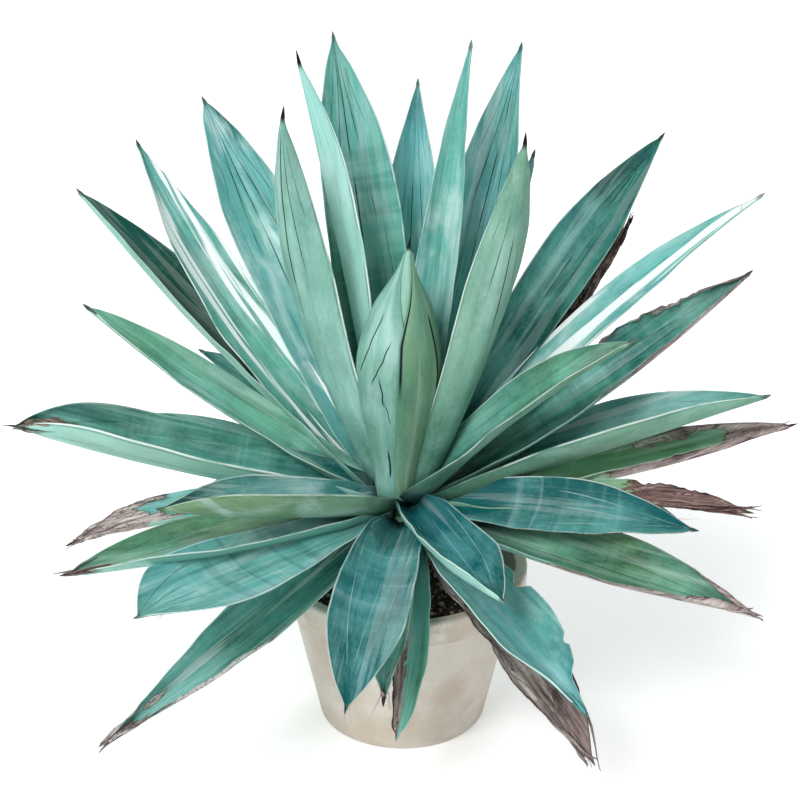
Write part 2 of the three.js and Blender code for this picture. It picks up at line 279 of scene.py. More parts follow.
class Graph:
    """A material's node tree with short calls for the nodes used here."""

    def __init__(self, name: str) -> None:
        """Make a material with an empty principled shader.

        Args:
            name: The material's name.
        """
        self.material = bpy.data.materials.new(name)
        self.material.use_nodes = True
        self.tree = self.material.node_tree
        self.tree.nodes.clear()
        self.shader = self.node("BsdfPrincipled", {})
        self.node("OutputMaterial", {0: self.shader.outputs[0]})

    def put(self, socket: Any, value: Any) -> None:
        """Link a socket to another, or set its plain value.

        Args:
            socket: The input.
            value: An output socket, a number or a colour.
        """
        if isinstance(value, bpy.types.NodeSocket):
            self.tree.links.new(value, socket)
        elif isinstance(value, (tuple, list)) and len(value) == 3 and len(socket.default_value) == 4:
            socket.default_value = (*value, 1.0)
        else:
            socket.default_value = value

    def node(self, kind: str, inputs: dict[Any, Any], **settings: Any) -> Any:
        """Add a node.

        Args:
            kind: Its type's name without the start that all of them share.
            inputs: What goes into its inputs, each under its number or name.
            settings: Its own settings.

        Returns:
            The node.
        """
        node = self.tree.nodes.new(f"ShaderNode{kind}")
        for name, value in settings.items():
            setattr(node, name, value)
        for key, value in inputs.items():
            self.put(node.inputs[key], value)
        return node

    def math(self, operation: str, *values: Any, clamp: bool = False) -> Any:
        """The result of a Math node, kept between 0 and 1 where clamp says so."""
        return self.node("Math", dict(enumerate(values)), operation=operation, use_clamp=clamp).outputs[0]

    def add(self, *values: Any) -> Any:
        """Sum of two or more values."""
        return reduce(partial(self.math, "ADD"), values)

    def times(self, *values: Any) -> Any:
        """Product of two or more values."""
        return reduce(partial(self.math, "MULTIPLY"), values)

    def swing(self, value: Any, reach: float, middle: float = 0.5) -> Any:
        """How far a noise lies from its middle, times a reach."""
        return self.times(self.math("SUBTRACT", value, middle), reach)

    def step(self, low: float, high: float, value: Any, top: float = 1.0) -> Any:
        """A soft step.

        Args:
            low: Where it starts; it may lie above high, and the step then falls.
            high: Where it is full.
            value: What is read.
            top: Its full height.

        Returns:
            The step's socket.
        """
        start, end = (top, 0.0) if low > high else (0.0, top)
        inputs = {
            "Value": value,
            "From Min": min(low, high),
            "From Max": max(low, high),
            "To Min": start,
            "To Max": end,
        }
        return self.node("MapRange", inputs, interpolation_type="SMOOTHSTEP").outputs["Result"]

    def line(self, value: Any, centre: Any, width: float) -> Any:
        """A thin soft line: 1 where a value passes the centre, and 0 from one width away."""
        away = self.math("ABSOLUTE", self.math("SUBTRACT", value, centre))
        return self.step(width, width * 0.25, away)

    def mix(self, share: Any, a: Any, b: Any) -> Any:
        """A colour between a and b, where share is how much of b shows."""
        return self.node("Mix", {0: share, 6: a, 7: b}, data_type="RGBA").outputs[2]

    def coats(self, colour: Any, *coats: tuple[Any, Any]) -> Any:
        """Lay coats of colour over each other.

        Args:
            colour: What lies under them all.
            coats: How much of each shows, and its colour.

        Returns:
            The finished colour's socket.
        """
        for share, coat in coats:
            colour = self.mix(share, colour, coat)
        return colour

    def vector(self, name: str) -> Any:
        """A painted vector's socket."""
        return self.node("Attribute", {}, attribute_name=name).outputs["Vector"]

    def four(self, name: str) -> tuple[Any, ...]:
        """The four numbers of a painted colour."""
        painted = self.node("Attribute", {}, attribute_name=name).outputs
        return (*self.node("SeparateColor", {0: painted["Color"]}).outputs, painted["Alpha"])

    def parts(self, vector: Any) -> tuple[Any, ...]:
        """The three numbers of a vector."""
        return tuple(self.node("SeparateXYZ", {0: vector}).outputs)

    def stretched(self, vector: Any, x: float, y: float, z: float = 1.0) -> Any:
        """A vector scaled on its three axes."""
        return self.node("VectorMath", {0: vector, 1: (x, y, z)}, operation="MULTIPLY").outputs[0]

    def noise(self, vector: Any, scale: float = 1.0, detail: float = 4.0, rough: float = 0.55,
              bend: float = 0.0) -> Any:
        """Cloudy noise around a half.

        Args:
            vector: Where it is read.
            scale: Its scale.
            detail: How many octaves.
            rough: How strong the fine ones are.
            bend: How much it is distorted.

        Returns:
            The noise's socket.
        """
        inputs = {"Vector": vector, "Scale": scale, "Detail": detail, "Roughness": rough, "Distortion": bend}
        return self.node("TexNoise", inputs).outputs[0]

    def cells(self, vector: Any, scale: float) -> Any:
        """Distance in a field of scattered cells."""
        return self.node("TexVoronoi", {"Vector": vector, "Scale": scale}).outputs["Distance"]

    def ramp(self, value: Any, *stops: tuple[float, Colour]) -> Any:
        """A colour ramp.

        Args:
            value: What is read.
            stops: Pairs of a place from 0 to 1 and a colour.

        Returns:
            The colour's socket.
        """
        node = self.node("ValToRGB", {0: value})
        points = node.color_ramp.elements
        while len(points) < len(stops):
            points.new(1.0)
        for point, (place, colour) in zip(points, stops):
            point.position = place
            point.color = (*colour, 1.0)
        return node.outputs[0]

    def relief(self, height: Any, depth: float, strength: float = 1.0) -> None:
        """Raise the surface in shading alone, by up to a depth in metres where the height is 1."""
        inputs = {"Strength": strength, "Distance": depth, "Height": height}
        self.put(self.shader.inputs["Normal"], self.node("Bump", inputs).outputs[0])

    def set(self, **values: Any) -> None:
        """Set or link the shader's inputs.

        Args:
            values: What goes into each, under its name in small letters joined by underscores.
        """
        for name, value in values.items():
            label = "Specular IOR Level" if name == "specular" else name.replace("_", " ").title()
            self.put(self.shader.inputs[label], value)


def shade(red: int, green: int, blue: int) -> Colour:
    """A screen colour, 0 to 255, as the linear light that Blender mixes."""
    return (red / 255.0) ** 2.2, (green / 255.0) ** 2.2, (blue / 255.0) ** 2.2


@dataclass(frozen=True)
class Look:
    """What one leaf's skin looks like, each value from 0 to 1 or a little over."""

    green: float = 0.35  # from blue through green to olive
    deep: float = 0.4  # how dark its upper face is
    pale: float = 0.3  # how much bloom lies on it
    olive: float = 0.35  # its lower face, from mint to olive
    bands: float = 0.15  # bands across it, where it lay pressed in the bud
    ghost: float = 0.2  # lines left by its neighbours' edges
    crease: float = 0.5  # folds that run back from the tip, grooved and painted dark as shade
    streak: float = 0.1  # chalky stripes along it
    left_rim: float = 0.14  # how white its left edge is
    right_rim: float = 0.14
    under: float = 0.3  # how dark its lower face is
    lean: float = 0.5  # which half is painted darker as shade, from the left at 0 to the right at 1
    paper: float = 0.1  # how pale its dry parts are
    rust: float = 0.3  # their colour, from grey to red-brown
    slits: float = 0.0  # the bud's own folds, painted dark as shade, 1 for its left leaf and 0.5 for its right one

    def painted(self) -> dict[str, list[float]]:
        """The colours that carry these values on the mesh.

        Returns:
            The four numbers of each attribute.
        """
        return {
            "tint": [self.green, self.deep, self.pale, self.olive],
            "marks": [self.bands, self.ghost, self.crease, self.streak],
            "rims": [self.left_rim, self.right_rim, self.under, self.lean],
            "cast": [self.paper, self.rust, self.slits, 1.0],
        }


class LeafReading:
    """What the leaf skin reads off the mesh, with the noises that its layers share."""

    def __init__(self, g: Graph) -> None:
        """Make the reading nodes.

        Args:
            g: The skin's graph.
        """
        self.g = g
        self.grain = g.vector("grain")
        self.across, self.along, self.face = g.parts(g.vector("place"))
        self.green, self.deep, self.pale, self.olive = g.four("tint")
        self.bands, self.ghost, self.crease, self.streak = g.four("marks")
        self.left_rim, self.right_rim, self.under, self.lean = g.four("rims")
        self.paper, self.rust, self.slits, _ = g.four("cast")
        self.dry, self.horn, _, _ = g.four("state")
        self.reach = g.math("ABSOLUTE", self.across)
        self.clouds = self.noise(12.0, 5.0, 1.0, 3.0)
        self.patches = self.noise(24.0, 11.0, 1.7, 5.0, rough=0.6, bend=0.4)
        self.wash = self.noise(32.0, 11.0, 3.3, 4.0, bend=0.5)
        self.broad = self.noise(90.0, 4.0, 1.0, 3.0)
        self.fine = self.noise(520.0, 10.0, 1.0, 2.0)
        self.grit = self.noise(300.0, 150.0, 5.0, 3.0, rough=0.65)
        self.shifted = g.add(self.across, g.swing(self.clouds, 0.12))

    def noise(self, x: float, y: float, z: float, detail: float, **more: float) -> Any:
        """Noise of x waves to the metre across the leaf and y along it; z picks the pattern."""
        return self.g.noise(self.g.stretched(self.grain, x, y, z), detail=detail, **more)


@dataclass(frozen=True)
class Line:
    """A thin line on a blade, from its upper end to its lower one."""

    top: float  # place along the blade
    top_across: float
    low: float
    low_across: float
    width: float  # half width, as a share of half the blade


@dataclass(frozen=True)
class LeafSkin:
    """Waxy leaf skin with bloom, pressed bands, a pale edge and dry parts, and painted shade in the folds
    near the tip, at the foot and on one half.
    """

    blue: Colour = shade(110, 182, 182)
    teal: Colour = shade(106, 180, 162)
    leaf: Colour = shade(114, 162, 108)
    # Each deep colour is its hue's dark tone, which is also laid on as painted shade.
    blue_deep: Colour = shade(8, 92, 97)
    teal_deep: Colour = shade(6, 78, 66)
    leaf_deep: Colour = shade(34, 64, 36)
    bloom: Colour = shade(204, 232, 230)
    mint: Colour = shade(156, 212, 202)
    olive: Colour = shade(134, 166, 124)
    # The lower face's dark tone, which is also laid on as painted shade.
    under_deep: Colour = shade(58, 112, 92)
    edge: Colour = shade(236, 246, 240)
    # The darkest colour: painted shade in the folds, at the foot and in the bud's slits, and also dark
    # specks, fine streaks and the line inside a pale edge.
    fold: Colour = shade(4, 30, 34)
    chalk: Colour = shade(240, 248, 247)
    horn: Colour = shade(24, 18, 18)
    scorch: Colour = shade(118, 92, 72)
    soot: Colour = shade(30, 22, 21)
    grey: Stops = (
        (0.36, shade(48, 37, 35)),
        (0.46, shade(112, 97, 92)),
        (0.54, shade(160, 144, 139)),
        (0.64, shade(214, 204, 199)),
    )
    rusty: Stops = (
        (0.36, shade(40, 20, 19)),
        (0.46, shade(94, 54, 50)),
        (0.55, shade(132, 90, 84)),
        (0.66, shade(206, 182, 174)),
    )
    papery: Stops = (
        (0.34, shade(96, 80, 78)),
        (0.44, shade(180, 164, 160)),
        (0.56, shade(224, 215, 211)),
        (0.68, shade(246, 242, 239)),
    )
    roughness: float = 0.58
    folds: tuple[Line, ...] = (
        Line(1.0, 0.02, 0.46, 0.05, 0.022),
        Line(1.0, 0.1, 0.6, 0.4, 0.016),
        Line(1.0, -0.1, 0.56, -0.36, 0.016),
        Line(1.0, 0.3, 0.74, 0.66, 0.013),
        Line(1.0, -0.3, 0.7, -0.68, 0.013),
    )
    # Lines painted dark as shade where the bud's leaves fold and overlap.
    left_slits: tuple[Line, ...] = (
        Line(0.69, 0.3, 0.55, -0.2, 0.026),
        Line(0.64, 0.66, 0.54, 0.22, 0.022),
        Line(0.57, 0.42, 0.5, 0.56, 0.026),
        Line(0.52, 0.54, 0.46, 0.74, 0.014),
        Line(0.41, 0.6, 0.335, 0.64, 0.05),
    )
    right_slits: tuple[Line, ...] = (
        Line(0.81, -0.96, 0.51, -0.93, 0.05),
        Line(0.69, -0.1, 0.5, 0.08, 0.05),
    )
    right_shine: tuple[Line, ...] = (Line(0.82, 1.0, 0.5, 0.24, 0.09),)

    def drawn(self, r: LeafReading, lines: tuple[Line, ...], place: Any) -> Any:
        """Where some lines run.

        Args:
            r: What the skin reads.
            lines: The lines.
            place: The place across the blade that they follow.

        Returns:
            1 on the lines and 0 off them.
        """
        g = r.g
        total: Any = 0.0
        for line in lines:
            slope = (line.top_across - line.low_across) / (line.top - line.low)
            run = g.add(g.times(r.along, slope), line.low_across - slope * line.low)
            fade = 0.2 * (line.top - line.low)
            above = g.step(line.low, line.low + fade, r.along)
            below = g.step(line.top, line.top - 0.02, r.along)
            within = g.times(above, below)
            total = g.math("MAXIMUM", total, g.times(g.line(place, run, line.width), within))
        return total

    def fold_lines(self, r: LeafReading) -> Any:
        """Where the folds of a blade and of the bud run, which are painted dark as shade.

        Args:
            r: What the skin reads.

        Returns:
            1 on a fold and 0 off it.
        """
        g = r.g
        broken = g.step(0.38, 0.52, r.noise(20.0, 10.0, 5.0, 2.0))
        folds = g.times(self.drawn(r, self.folds, r.shifted), broken, r.crease)
        bent = g.add(r.across, g.swing(r.noise(20.0, 40.0, 9.0, 1.0), 0.14))
        left = g.times(self.drawn(r, self.left_slits, bent), g.step(0.7, 0.9, r.slits))
        right = g.times(self.drawn(r, self.right_slits, r.across), self.on_right(r))
        return g.math("MAXIMUM", folds, g.math("MAXIMUM", left, right))

    def on_right(self, r: LeafReading) -> Any:
        """1 on the bud's right leaf and 0 elsewhere."""
        return r.g.times(r.g.step(0.3, 0.45, r.slits), r.g.step(0.7, 0.55, r.slits))

    def upper(self, r: LeafReading, folds: Any) -> Any:
        """The colour of the upper face.

        Args:
            r: What the skin reads.
            folds: Where the folds run, painted dark as shade.

        Returns:
            The colour's socket.
        """
        g = r.g
        hue = g.math("ADD", r.green, g.swing(r.clouds, 1.0), clamp=True)
        light = g.ramp(hue, (0.0, self.blue), (0.5, self.teal), (1.0, self.leaf))
        dark = g.ramp(hue, (0.0, self.blue_deep), (0.5, self.teal_deep), (1.0, self.leaf_deep))
        # Painted shade: one half of the channel is darker, as lean sets.
        half_shade = g.times(g.swing(r.lean, 1.6), r.across)
        # The leaf's own dark tone and patches, and painted shade, set how much of the dark colour shows.
        tone_and_shade = g.add(g.times(r.deep, 0.85), g.swing(r.patches, 1.9), g.swing(r.grit, 0.45), half_shade)
        # Painted shade towards the foot, where the leaves crowd round the heart; the tip is also made a
        # little darker.
        tone_and_shade = g.add(tone_and_shade, g.step(0.75, 1.0, r.along, 0.2), g.step(0.4, 0.05, r.along, 0.6))
        skin = g.mix(g.math("ADD", tone_and_shade, -0.15, clamp=True), light, dark)

        bare = g.math("SUBTRACT", 1.0, g.times(r.deep, 0.75), clamp=True)
        washed = g.times(g.step(0.44, 0.72, r.wash), g.add(0.12, g.times(r.pale, 0.9)))
        skin = g.coats(
            skin,
            (g.times(washed, bare), self.bloom),
            (g.times(g.step(0.52, 0.78, r.broad, 0.8), bare), light),
            (g.times(g.step(0.58, 0.8, r.broad, 0.3), bare), self.bloom),
            (g.step(0.48, 0.25, r.broad, 0.45), dark),
            (g.step(0.5, 0.75, r.fine, 0.05), self.bloom),
            (g.step(0.5, 0.28, r.fine, 0.1), self.fold),
        )

        pressed = r.noise(3.0, 46.0, 2.0, 2.0, bend=0.6)
        middle = g.times(g.step(0.2, 0.4, r.along), g.step(0.88, 0.66, r.along), r.bands)
        outline = g.times(g.math("POWER", g.math("SUBTRACT", 1.0, r.along, clamp=True), 0.62), 0.92)
        trace = g.line(g.math("ABSOLUTE", r.shifted), outline, 0.014)
        second = g.line(g.add(r.shifted, 0.18), g.times(outline, 0.5), 0.012)
        traces = g.math("MAXIMUM", trace, g.times(second, 0.8))
        broken = g.step(0.42, 0.6, r.noise(6.0, 14.0, 3.0, 2.0))
        stripes = g.step(0.53, 0.6, g.add(r.noise(80.0, 3.0, 3.1, 3.0), g.times(r.streak, 0.03)))
        return g.coats(
            skin,
            (g.times(g.step(0.47, 0.66, pressed), middle, 0.5), dark),
            (g.times(g.step(0.46, 0.3, pressed), middle, 0.22), self.bloom),
            (g.times(traces, broken, r.ghost, 0.8), self.bloom),
            # Painted shade in the folds.
            (folds, self.fold),
            (g.times(stripes, r.streak), self.chalk),
        )

    def lower(self, r: LeafReading, folds: Any) -> Any:
        """The colour of the lower face.

        Args:
            r: What the skin reads.
            folds: Where the folds run, painted dark as shade.

        Returns:
            The colour's socket.
        """
        g = r.g
        hue = g.math("ADD", r.olive, g.swing(r.clouds, 0.9), clamp=True)
        # The lower face's own darkness and patches, and painted shade, set how much of its dark colour shows.
        tone_and_shade = g.add(g.times(r.under, 0.9), g.swing(r.patches, 1.3), g.swing(r.grit, 0.35))
        # Painted shade: one half of the lower face is darker, as lean sets.
        half_shade = g.times(g.swing(r.lean, 1.2), r.across)
        # Painted shade towards the foot, where the leaves crowd round the heart.
        tone_and_shade = g.add(tone_and_shade, half_shade, g.step(0.3, 0.04, r.along, 0.4))
        washed = g.times(g.step(0.46, 0.74, r.wash), g.add(0.08, g.times(r.pale, 0.6)))
        return g.coats(
            g.mix(hue, self.mint, self.olive),
            (g.math("ADD", tone_and_shade, -0.04, clamp=True), self.under_deep),
            (washed, self.bloom),
            (g.step(0.52, 0.8, r.broad, 0.24), self.bloom),
            (g.step(0.47, 0.24, r.broad, 0.28), self.under_deep),
            (g.step(0.5, 0.28, r.fine, 0.1), self.under_deep),
            # Painted shade in the folds.
            (folds, self.fold),
        )

    def dead(self, r: LeafReading, fibre: Any, blotch: Any) -> Any:
        """The colour of dry tissue, swirled like driftwood.

        Args:
            r: What the skin reads.
            fibre: Noise of its fibres.
            blotch: Noise of its broad patches.

        Returns:
            The colour's socket.
        """
        g = r.g
        swirl = r.noise(40.0, 10.0, 4.0, 5.0, rough=0.6, bend=1.8)
        worn = g.add(g.times(fibre, 0.5), g.times(swirl, 0.5))
        veins = g.math("MAXIMUM", g.line(swirl, 0.5, 0.018), g.line(swirl, 0.6, 0.013))
        rind = g.add(r.reach, g.swing(fibre, 0.12), g.swing(blotch, 0.2))
        bound = g.times(g.step(0.88, 0.99, rind, 0.85), g.math("SUBTRACT", 1.0, r.paper))
        rusted = g.math("ADD", r.rust, g.swing(blotch, 0.9), clamp=True)
        bleached = g.math("ADD", r.paper, g.times(g.swing(blotch, 2.0), r.paper), clamp=True)
        return g.coats(
            g.ramp(worn, *self.grey),
            (rusted, g.ramp(worn, *self.rusty)),
            (bleached, g.ramp(worn, *self.papery)),
            (g.step(0.46, 0.3, blotch, 0.75), self.soot),
            (g.times(veins, 0.7), self.soot),
            (bound, self.soot),
        )

    def rimmed(self, r: LeafReading, skin: Any) -> Any:
        """The skin with its pale edges, each with a dark line along its inner side.

        Args:
            r: What the skin reads.
            skin: The skin's colour.

        Returns:
            The colour's socket.
        """
        g = r.g
        left = g.times(r.left_rim, g.step(0.1, -0.1, r.across))
        right = g.times(r.right_rim, g.step(-0.1, 0.1, r.across))
        patchy = g.step(0.3, 0.54, r.noise(9.0, 26.0, 1.3, 4.0))
        rim = g.times(g.add(left, right), patchy, g.step(0.08, 0.26, r.along))
        inside = g.times(g.step(0.89, 0.935, r.reach), g.step(0.965, 0.95, r.reach))
        outside = g.step(0.95, 0.985, r.reach)
        return g.coats(skin, (g.times(inside, rim, 0.45), self.fold), (g.times(outside, rim), self.edge))

    def build(self, name: str) -> bpy.types.Material:
        """Make the material.

        Args:
            name: Its name.

        Returns:
            The material, which reads the painted values off the mesh.
        """
        g = Graph(name)
        r = LeafReading(g)
        folds = self.fold_lines(r)
        skin = g.mix(g.step(-0.2, 0.2, r.face), self.lower(r, folds), self.upper(r, folds))
        shine = g.times(self.drawn(r, self.right_shine, r.across), self.on_right(r))
        specks = g.step(0.14, 0.07, g.cells(g.stretched(r.grain, 230.0, 120.0, 1.0), 1.0))
        fibre = r.noise(380.0, 13.0, 2.0, 4.0, rough=0.65, bend=0.3)
        blotch = r.noise(48.0, 16.0, 4.0, 4.0)
        spread = g.add(r.dry, g.swing(blotch, 0.7))
        withered = g.step(0.46, 0.54, spread)
        skin = g.coats(
            self.rimmed(r, skin),
            (shine, self.edge),
            (g.times(specks, g.step(0.58, 0.7, r.patches, 0.7)), self.fold),
            # Painted shade right at the foot, where the leaves meet at the heart.
            (g.step(0.1, 0.01, r.along, 0.8), self.fold),
            (g.step(0.28, 0.47, spread, 0.7), self.scorch),
            (g.line(spread, 0.47, 0.03), self.scorch),
            (withered, self.dead(r, fibre, blotch)),
            (r.horn, self.horn),
        )
        worn = g.add(g.times(withered, 0.3), g.swing(r.patches, 0.2), g.times(r.horn, -0.12))
        roughness = g.math("ADD", self.roughness, worn, clamp=True)
        g.set(base_color=skin, roughness=roughness, specular=0.18)
        height = g.add(g.times(r.fine, 0.2), g.times(r.broad, 0.5), g.times(r.grit, 0.2))
        height = g.add(height, g.times(folds, -0.8), g.times(withered, fibre, 2.6))
        g.relief(height, 0.0011, 0.7)
        return g.material


@dataclass(frozen=True)
class BarkFinish:
    """The stem's fibrous skin between old leaf scars, green and fleshy where leaves still grow."""

    dark: Colour = shade(52, 38, 28)
    mid: Colour = shade(112, 90, 64)
    light: Colour = shade(172, 152, 116)
    flesh: Colour = shade(70, 112, 88)
    joint: Colour = shade(16, 34, 30)

    def build(self, name: str) -> bpy.types.Material:
        """Make the material.

        Args:
            name: Its name.

        Returns:
            The material; state holds how deep in a scar and how green a point is.
        """
        g = Graph(name)
        grain = g.vector("grain")
        scar, fresh, _, _ = g.four("state")
        fibre = g.noise(g.stretched(grain, 520.0, 26.0), detail=4.0, rough=0.6, bend=0.3)
        blotch = g.noise(g.stretched(grain, 40.0, 40.0, 2.0), detail=4.0)
        skin = g.coats(
            g.ramp(fibre, (0.3, self.dark), (0.5, self.mid), (0.74, self.light)),
            (g.step(0.52, 0.36, blotch, 0.6), self.dark),
            (g.times(scar, 0.7), self.dark),
            (fresh, g.mix(g.times(scar, 0.9), self.flesh, self.joint)),
        )
        g.set(base_color=skin, roughness=0.86, specular=0.25)
        g.relief(g.add(fibre, g.times(blotch, 0.6)), 0.0022)
        return g.material


@dataclass(frozen=True)
class GritFinish:
    """Potting grit: dark earth and pebbles of several kinds of stone."""

    earth_dark: Colour = shade(38, 29, 23)
    earth: Colour = shade(92, 74, 58)
    pumice: Colour = shade(196, 188, 172)
    lava: Colour = shade(96, 62, 50)
    flint: Colour = shade(120, 116, 108)

    def build(self, name: str) -> bpy.types.Material:
        """Make the material.

        Args:
            name: Its name.

        Returns:
            The material; state holds whether a point is on a pebble, and of which kind.
        """
        g = Graph(name)
        grain = g.vector("grain")
        stone, kind, _, _ = g.four("state")
        crumbs = g.noise(grain, 420.0, 6.0, 0.7)
        earth = g.mix(g.step(0.4, 0.66, crumbs), self.earth_dark, self.earth)
        earth = g.mix(g.step(0.5, 0.66, g.noise(grain, 60.0), 0.5), earth, self.earth_dark)
        rock = g.ramp(kind, (0.15, self.pumice), (0.45, self.flint), (0.65, self.lava), (0.9, self.earth))
        rock = g.mix(g.step(0.56, 0.4, g.noise(grain, 900.0), 0.45), rock, self.earth_dark)
        g.set(base_color=g.mix(stone, earth, rock), roughness=0.93, specular=0.2)
        g.relief(crumbs, 0.0016)
        return g.material


@dataclass(frozen=True)
class ClayFinish:
    """Unglazed pale stoneware with turning lines, fine specks and a worn foot."""

    body: Colour = shade(206, 200, 190)
    warm: Colour = shade(188, 176, 160)
    speck: Colour = shade(112, 98, 84)
    lime: Colour = shade(232, 230, 224)

    def build(self, name: str) -> bpy.types.Material:
        """Make the material.

        Args:
            name: Its name.

        Returns:
            The material; grain holds the place in metres, with the height in its middle.
        """
        g = Graph(name)
        grain = g.vector("grain")
        _, height, _ = g.parts(grain)
        clouds = g.noise(grain, 14.0, 5.0, 0.6)
        lines = g.noise(g.stretched(grain, 0.6, 420.0, 0.6), detail=3.0)
        tooth = g.noise(grain, 1500.0, 3.0)
        specks = g.step(0.16, 0.08, g.cells(grain, 260.0))
        damp = g.step(0.4, 0.62, g.noise(g.stretched(grain, 26.0, 60.0, 26.0)))
        crust = g.step(0.52, 0.68, g.noise(grain, 30.0, 5.0))
        skin = g.coats(
            g.mix(g.step(0.35, 0.7, clouds), self.body, self.warm),
            (g.step(0.54, 0.72, lines, 0.25), self.warm),
            (g.times(specks, g.step(0.48, 0.6, g.noise(grain, 50.0), 0.8)), self.speck),
            (g.times(g.step(0.05, 0.0, height), damp, 0.55), self.warm),
            (g.times(g.step(0.155, 0.19, height), crust, 0.6), self.lime),
        )
        g.set(base_color=skin, specular=0.3)
        g.set(roughness=g.add(0.6, g.times(clouds, 0.22)))
        g.relief(g.add(lines, g.times(tooth, 0.35)), 0.0006)
        return g.material


class Feet(NamedTuple):
    """A ring of leaf feet on the stem."""

    radius: float  # how far from its middle they start
    height: float  # how far over the crown
    thickness: float
    pinch: float  # how much narrower they are where their neighbours press on them


class Tier(Enum):
    """The rings of leaf feet, from the bud down."""

    INNER = Feet(18.0, 8.0, 12.0, 0.0)
    UPPER = Feet(26.0, 0.0, 13.0, 0.4)
    MIDDLE = Feet(32.0, -8.0, 14.0, 0.5)
    LOWER = Feet(36.0, -18.0, 14.0, 0.5)
    SKIRT = Feet(38.0, -30.0, 13.0, 0.5)


def width_share(share: Array, belly: float, neck: float, taper: float, flare: float = 0.0) -> Array:
    """Half a blade's width along its length, as a share of its widest half.

    Args:
        share: Place along the blade, from 0 to 1.
        belly: Where it is widest.
        neck: Width over the foot.
        taper: 1 narrows it straight to the tip, more keeps it wide and then blunt.
        flare: Extra width right at the foot.

    Returns:
        The share of the widest half at each place.
    """
    x = np.clip(share / belly, 0.0, 1.0)
    low = neck + flare * np.exp(-((share / 0.07) ** 2)) + (1.0 - neck) * x * x * (3.0 - 2.0 * x)
    y = np.clip((share - belly) / (1.0 - belly), 0.0, 1.0)
    return np.where(share <= belly, low, np.maximum(0.0, 1.0 - y**taper) ** 0.93)


@dataclass(frozen=True)
class Leaf:
    """One leaf: its path from the stem, its cross-section and how it has aged."""

    turn: float  # its heading from the front, to the right
    rise: float  # its slope at the foot
    length: float
    width: float
    tier: Tier = Tier.UPPER
    droop: float = 12.0  # how far it bends down from foot to tip
    bend: float = 1.4  # 1 bends it evenly, more leaves the bend to its tip
    sway: float = 0.0  # how far it bends to its right
    roll: float = 0.0  # how far it is tipped about its own length
    twist: float = 0.0  # how much more at the tip
    left: float = 28.0  # steepness of the channel's left half
    right: float = 28.0
    belly: float = 0.56  # where it is widest, and the next two as in width_share
    neck: float = 0.7
    taper: float = 1.75
    spine: float = 8.0  # length of its spine
    clasp: float = 48.0  # steepness of the channel where the foot clasps the stem
    tip_fold: float = 18.0  # how much the channel closes towards the tip
    flare: float = 0.16  # extra width right at the foot
    look: Look = Look()
    horn: float = 0.6  # how dark its very tip is
    dry_from: float = 1.1  # share of the length where its dry tip starts
    dry_left: float = 0.0  # share of the left half that is dry
    dry_right: float = 0.0
    side_from: float = 0.3  # where the dry sides start
    dry_under: float = 1.2  # share of the length where its lower face turns dry
    ragged: float = 0.0  # how torn its dry edges are
    curl: float = 8.0  # how far its dry edges curl up
    bite_right: float = 0.0  # how deep the notches in its live right edge are
    wave: float = 1.6  # how far its edges wave, in mm
    shreds: int = 0  # torn strips at the tip
    wisps: int = 0  # loose fibres at the tip
    seed: int = 0

    def path(self, steps: int) -> dict[str, Array]:
        """Points and directions along the leaf's middle, as in the solid.

        Args:
            steps: How many steps it takes.

        Returns:
            A row for each station of point, forward, across and above.
        """
        turn, rise = math.radians(self.turn), math.radians(self.rise)
        heading = np.array([math.sin(turn), -math.cos(turn), 0.0])
        feet = self.tier.value
        point = heading * feet.radius + UP * (CROWN_HEIGHT + feet.height)
        forward = heading * math.cos(rise) + UP * math.sin(rise)
        across = np.array([math.cos(turn), math.sin(turn), 0.0])
        rows: dict[str, list[Array]] = {"point": [], "forward": [], "across": [], "above": []}
        for step in range(steps + 1):
            for key, value in zip(rows, (point, forward, across, np.cross(forward, across))):
                rows[key].append(value)
            start, end = step / steps, (step + 1) / steps
            fall = math.radians(self.droop) * (end**self.bend - start**self.bend)
            forward = turned_about(forward, across, fall)
            upward = np.cross(forward, across)
            swing = math.radians(self.sway) * (end**1.3 - start**1.3)
            forward = turned_about(forward, upward, swing)
            across = turned_about(across, upward, swing)
            point = point + forward * (self.length / steps)
        return {key: np.array(values) for key, values in rows.items()}


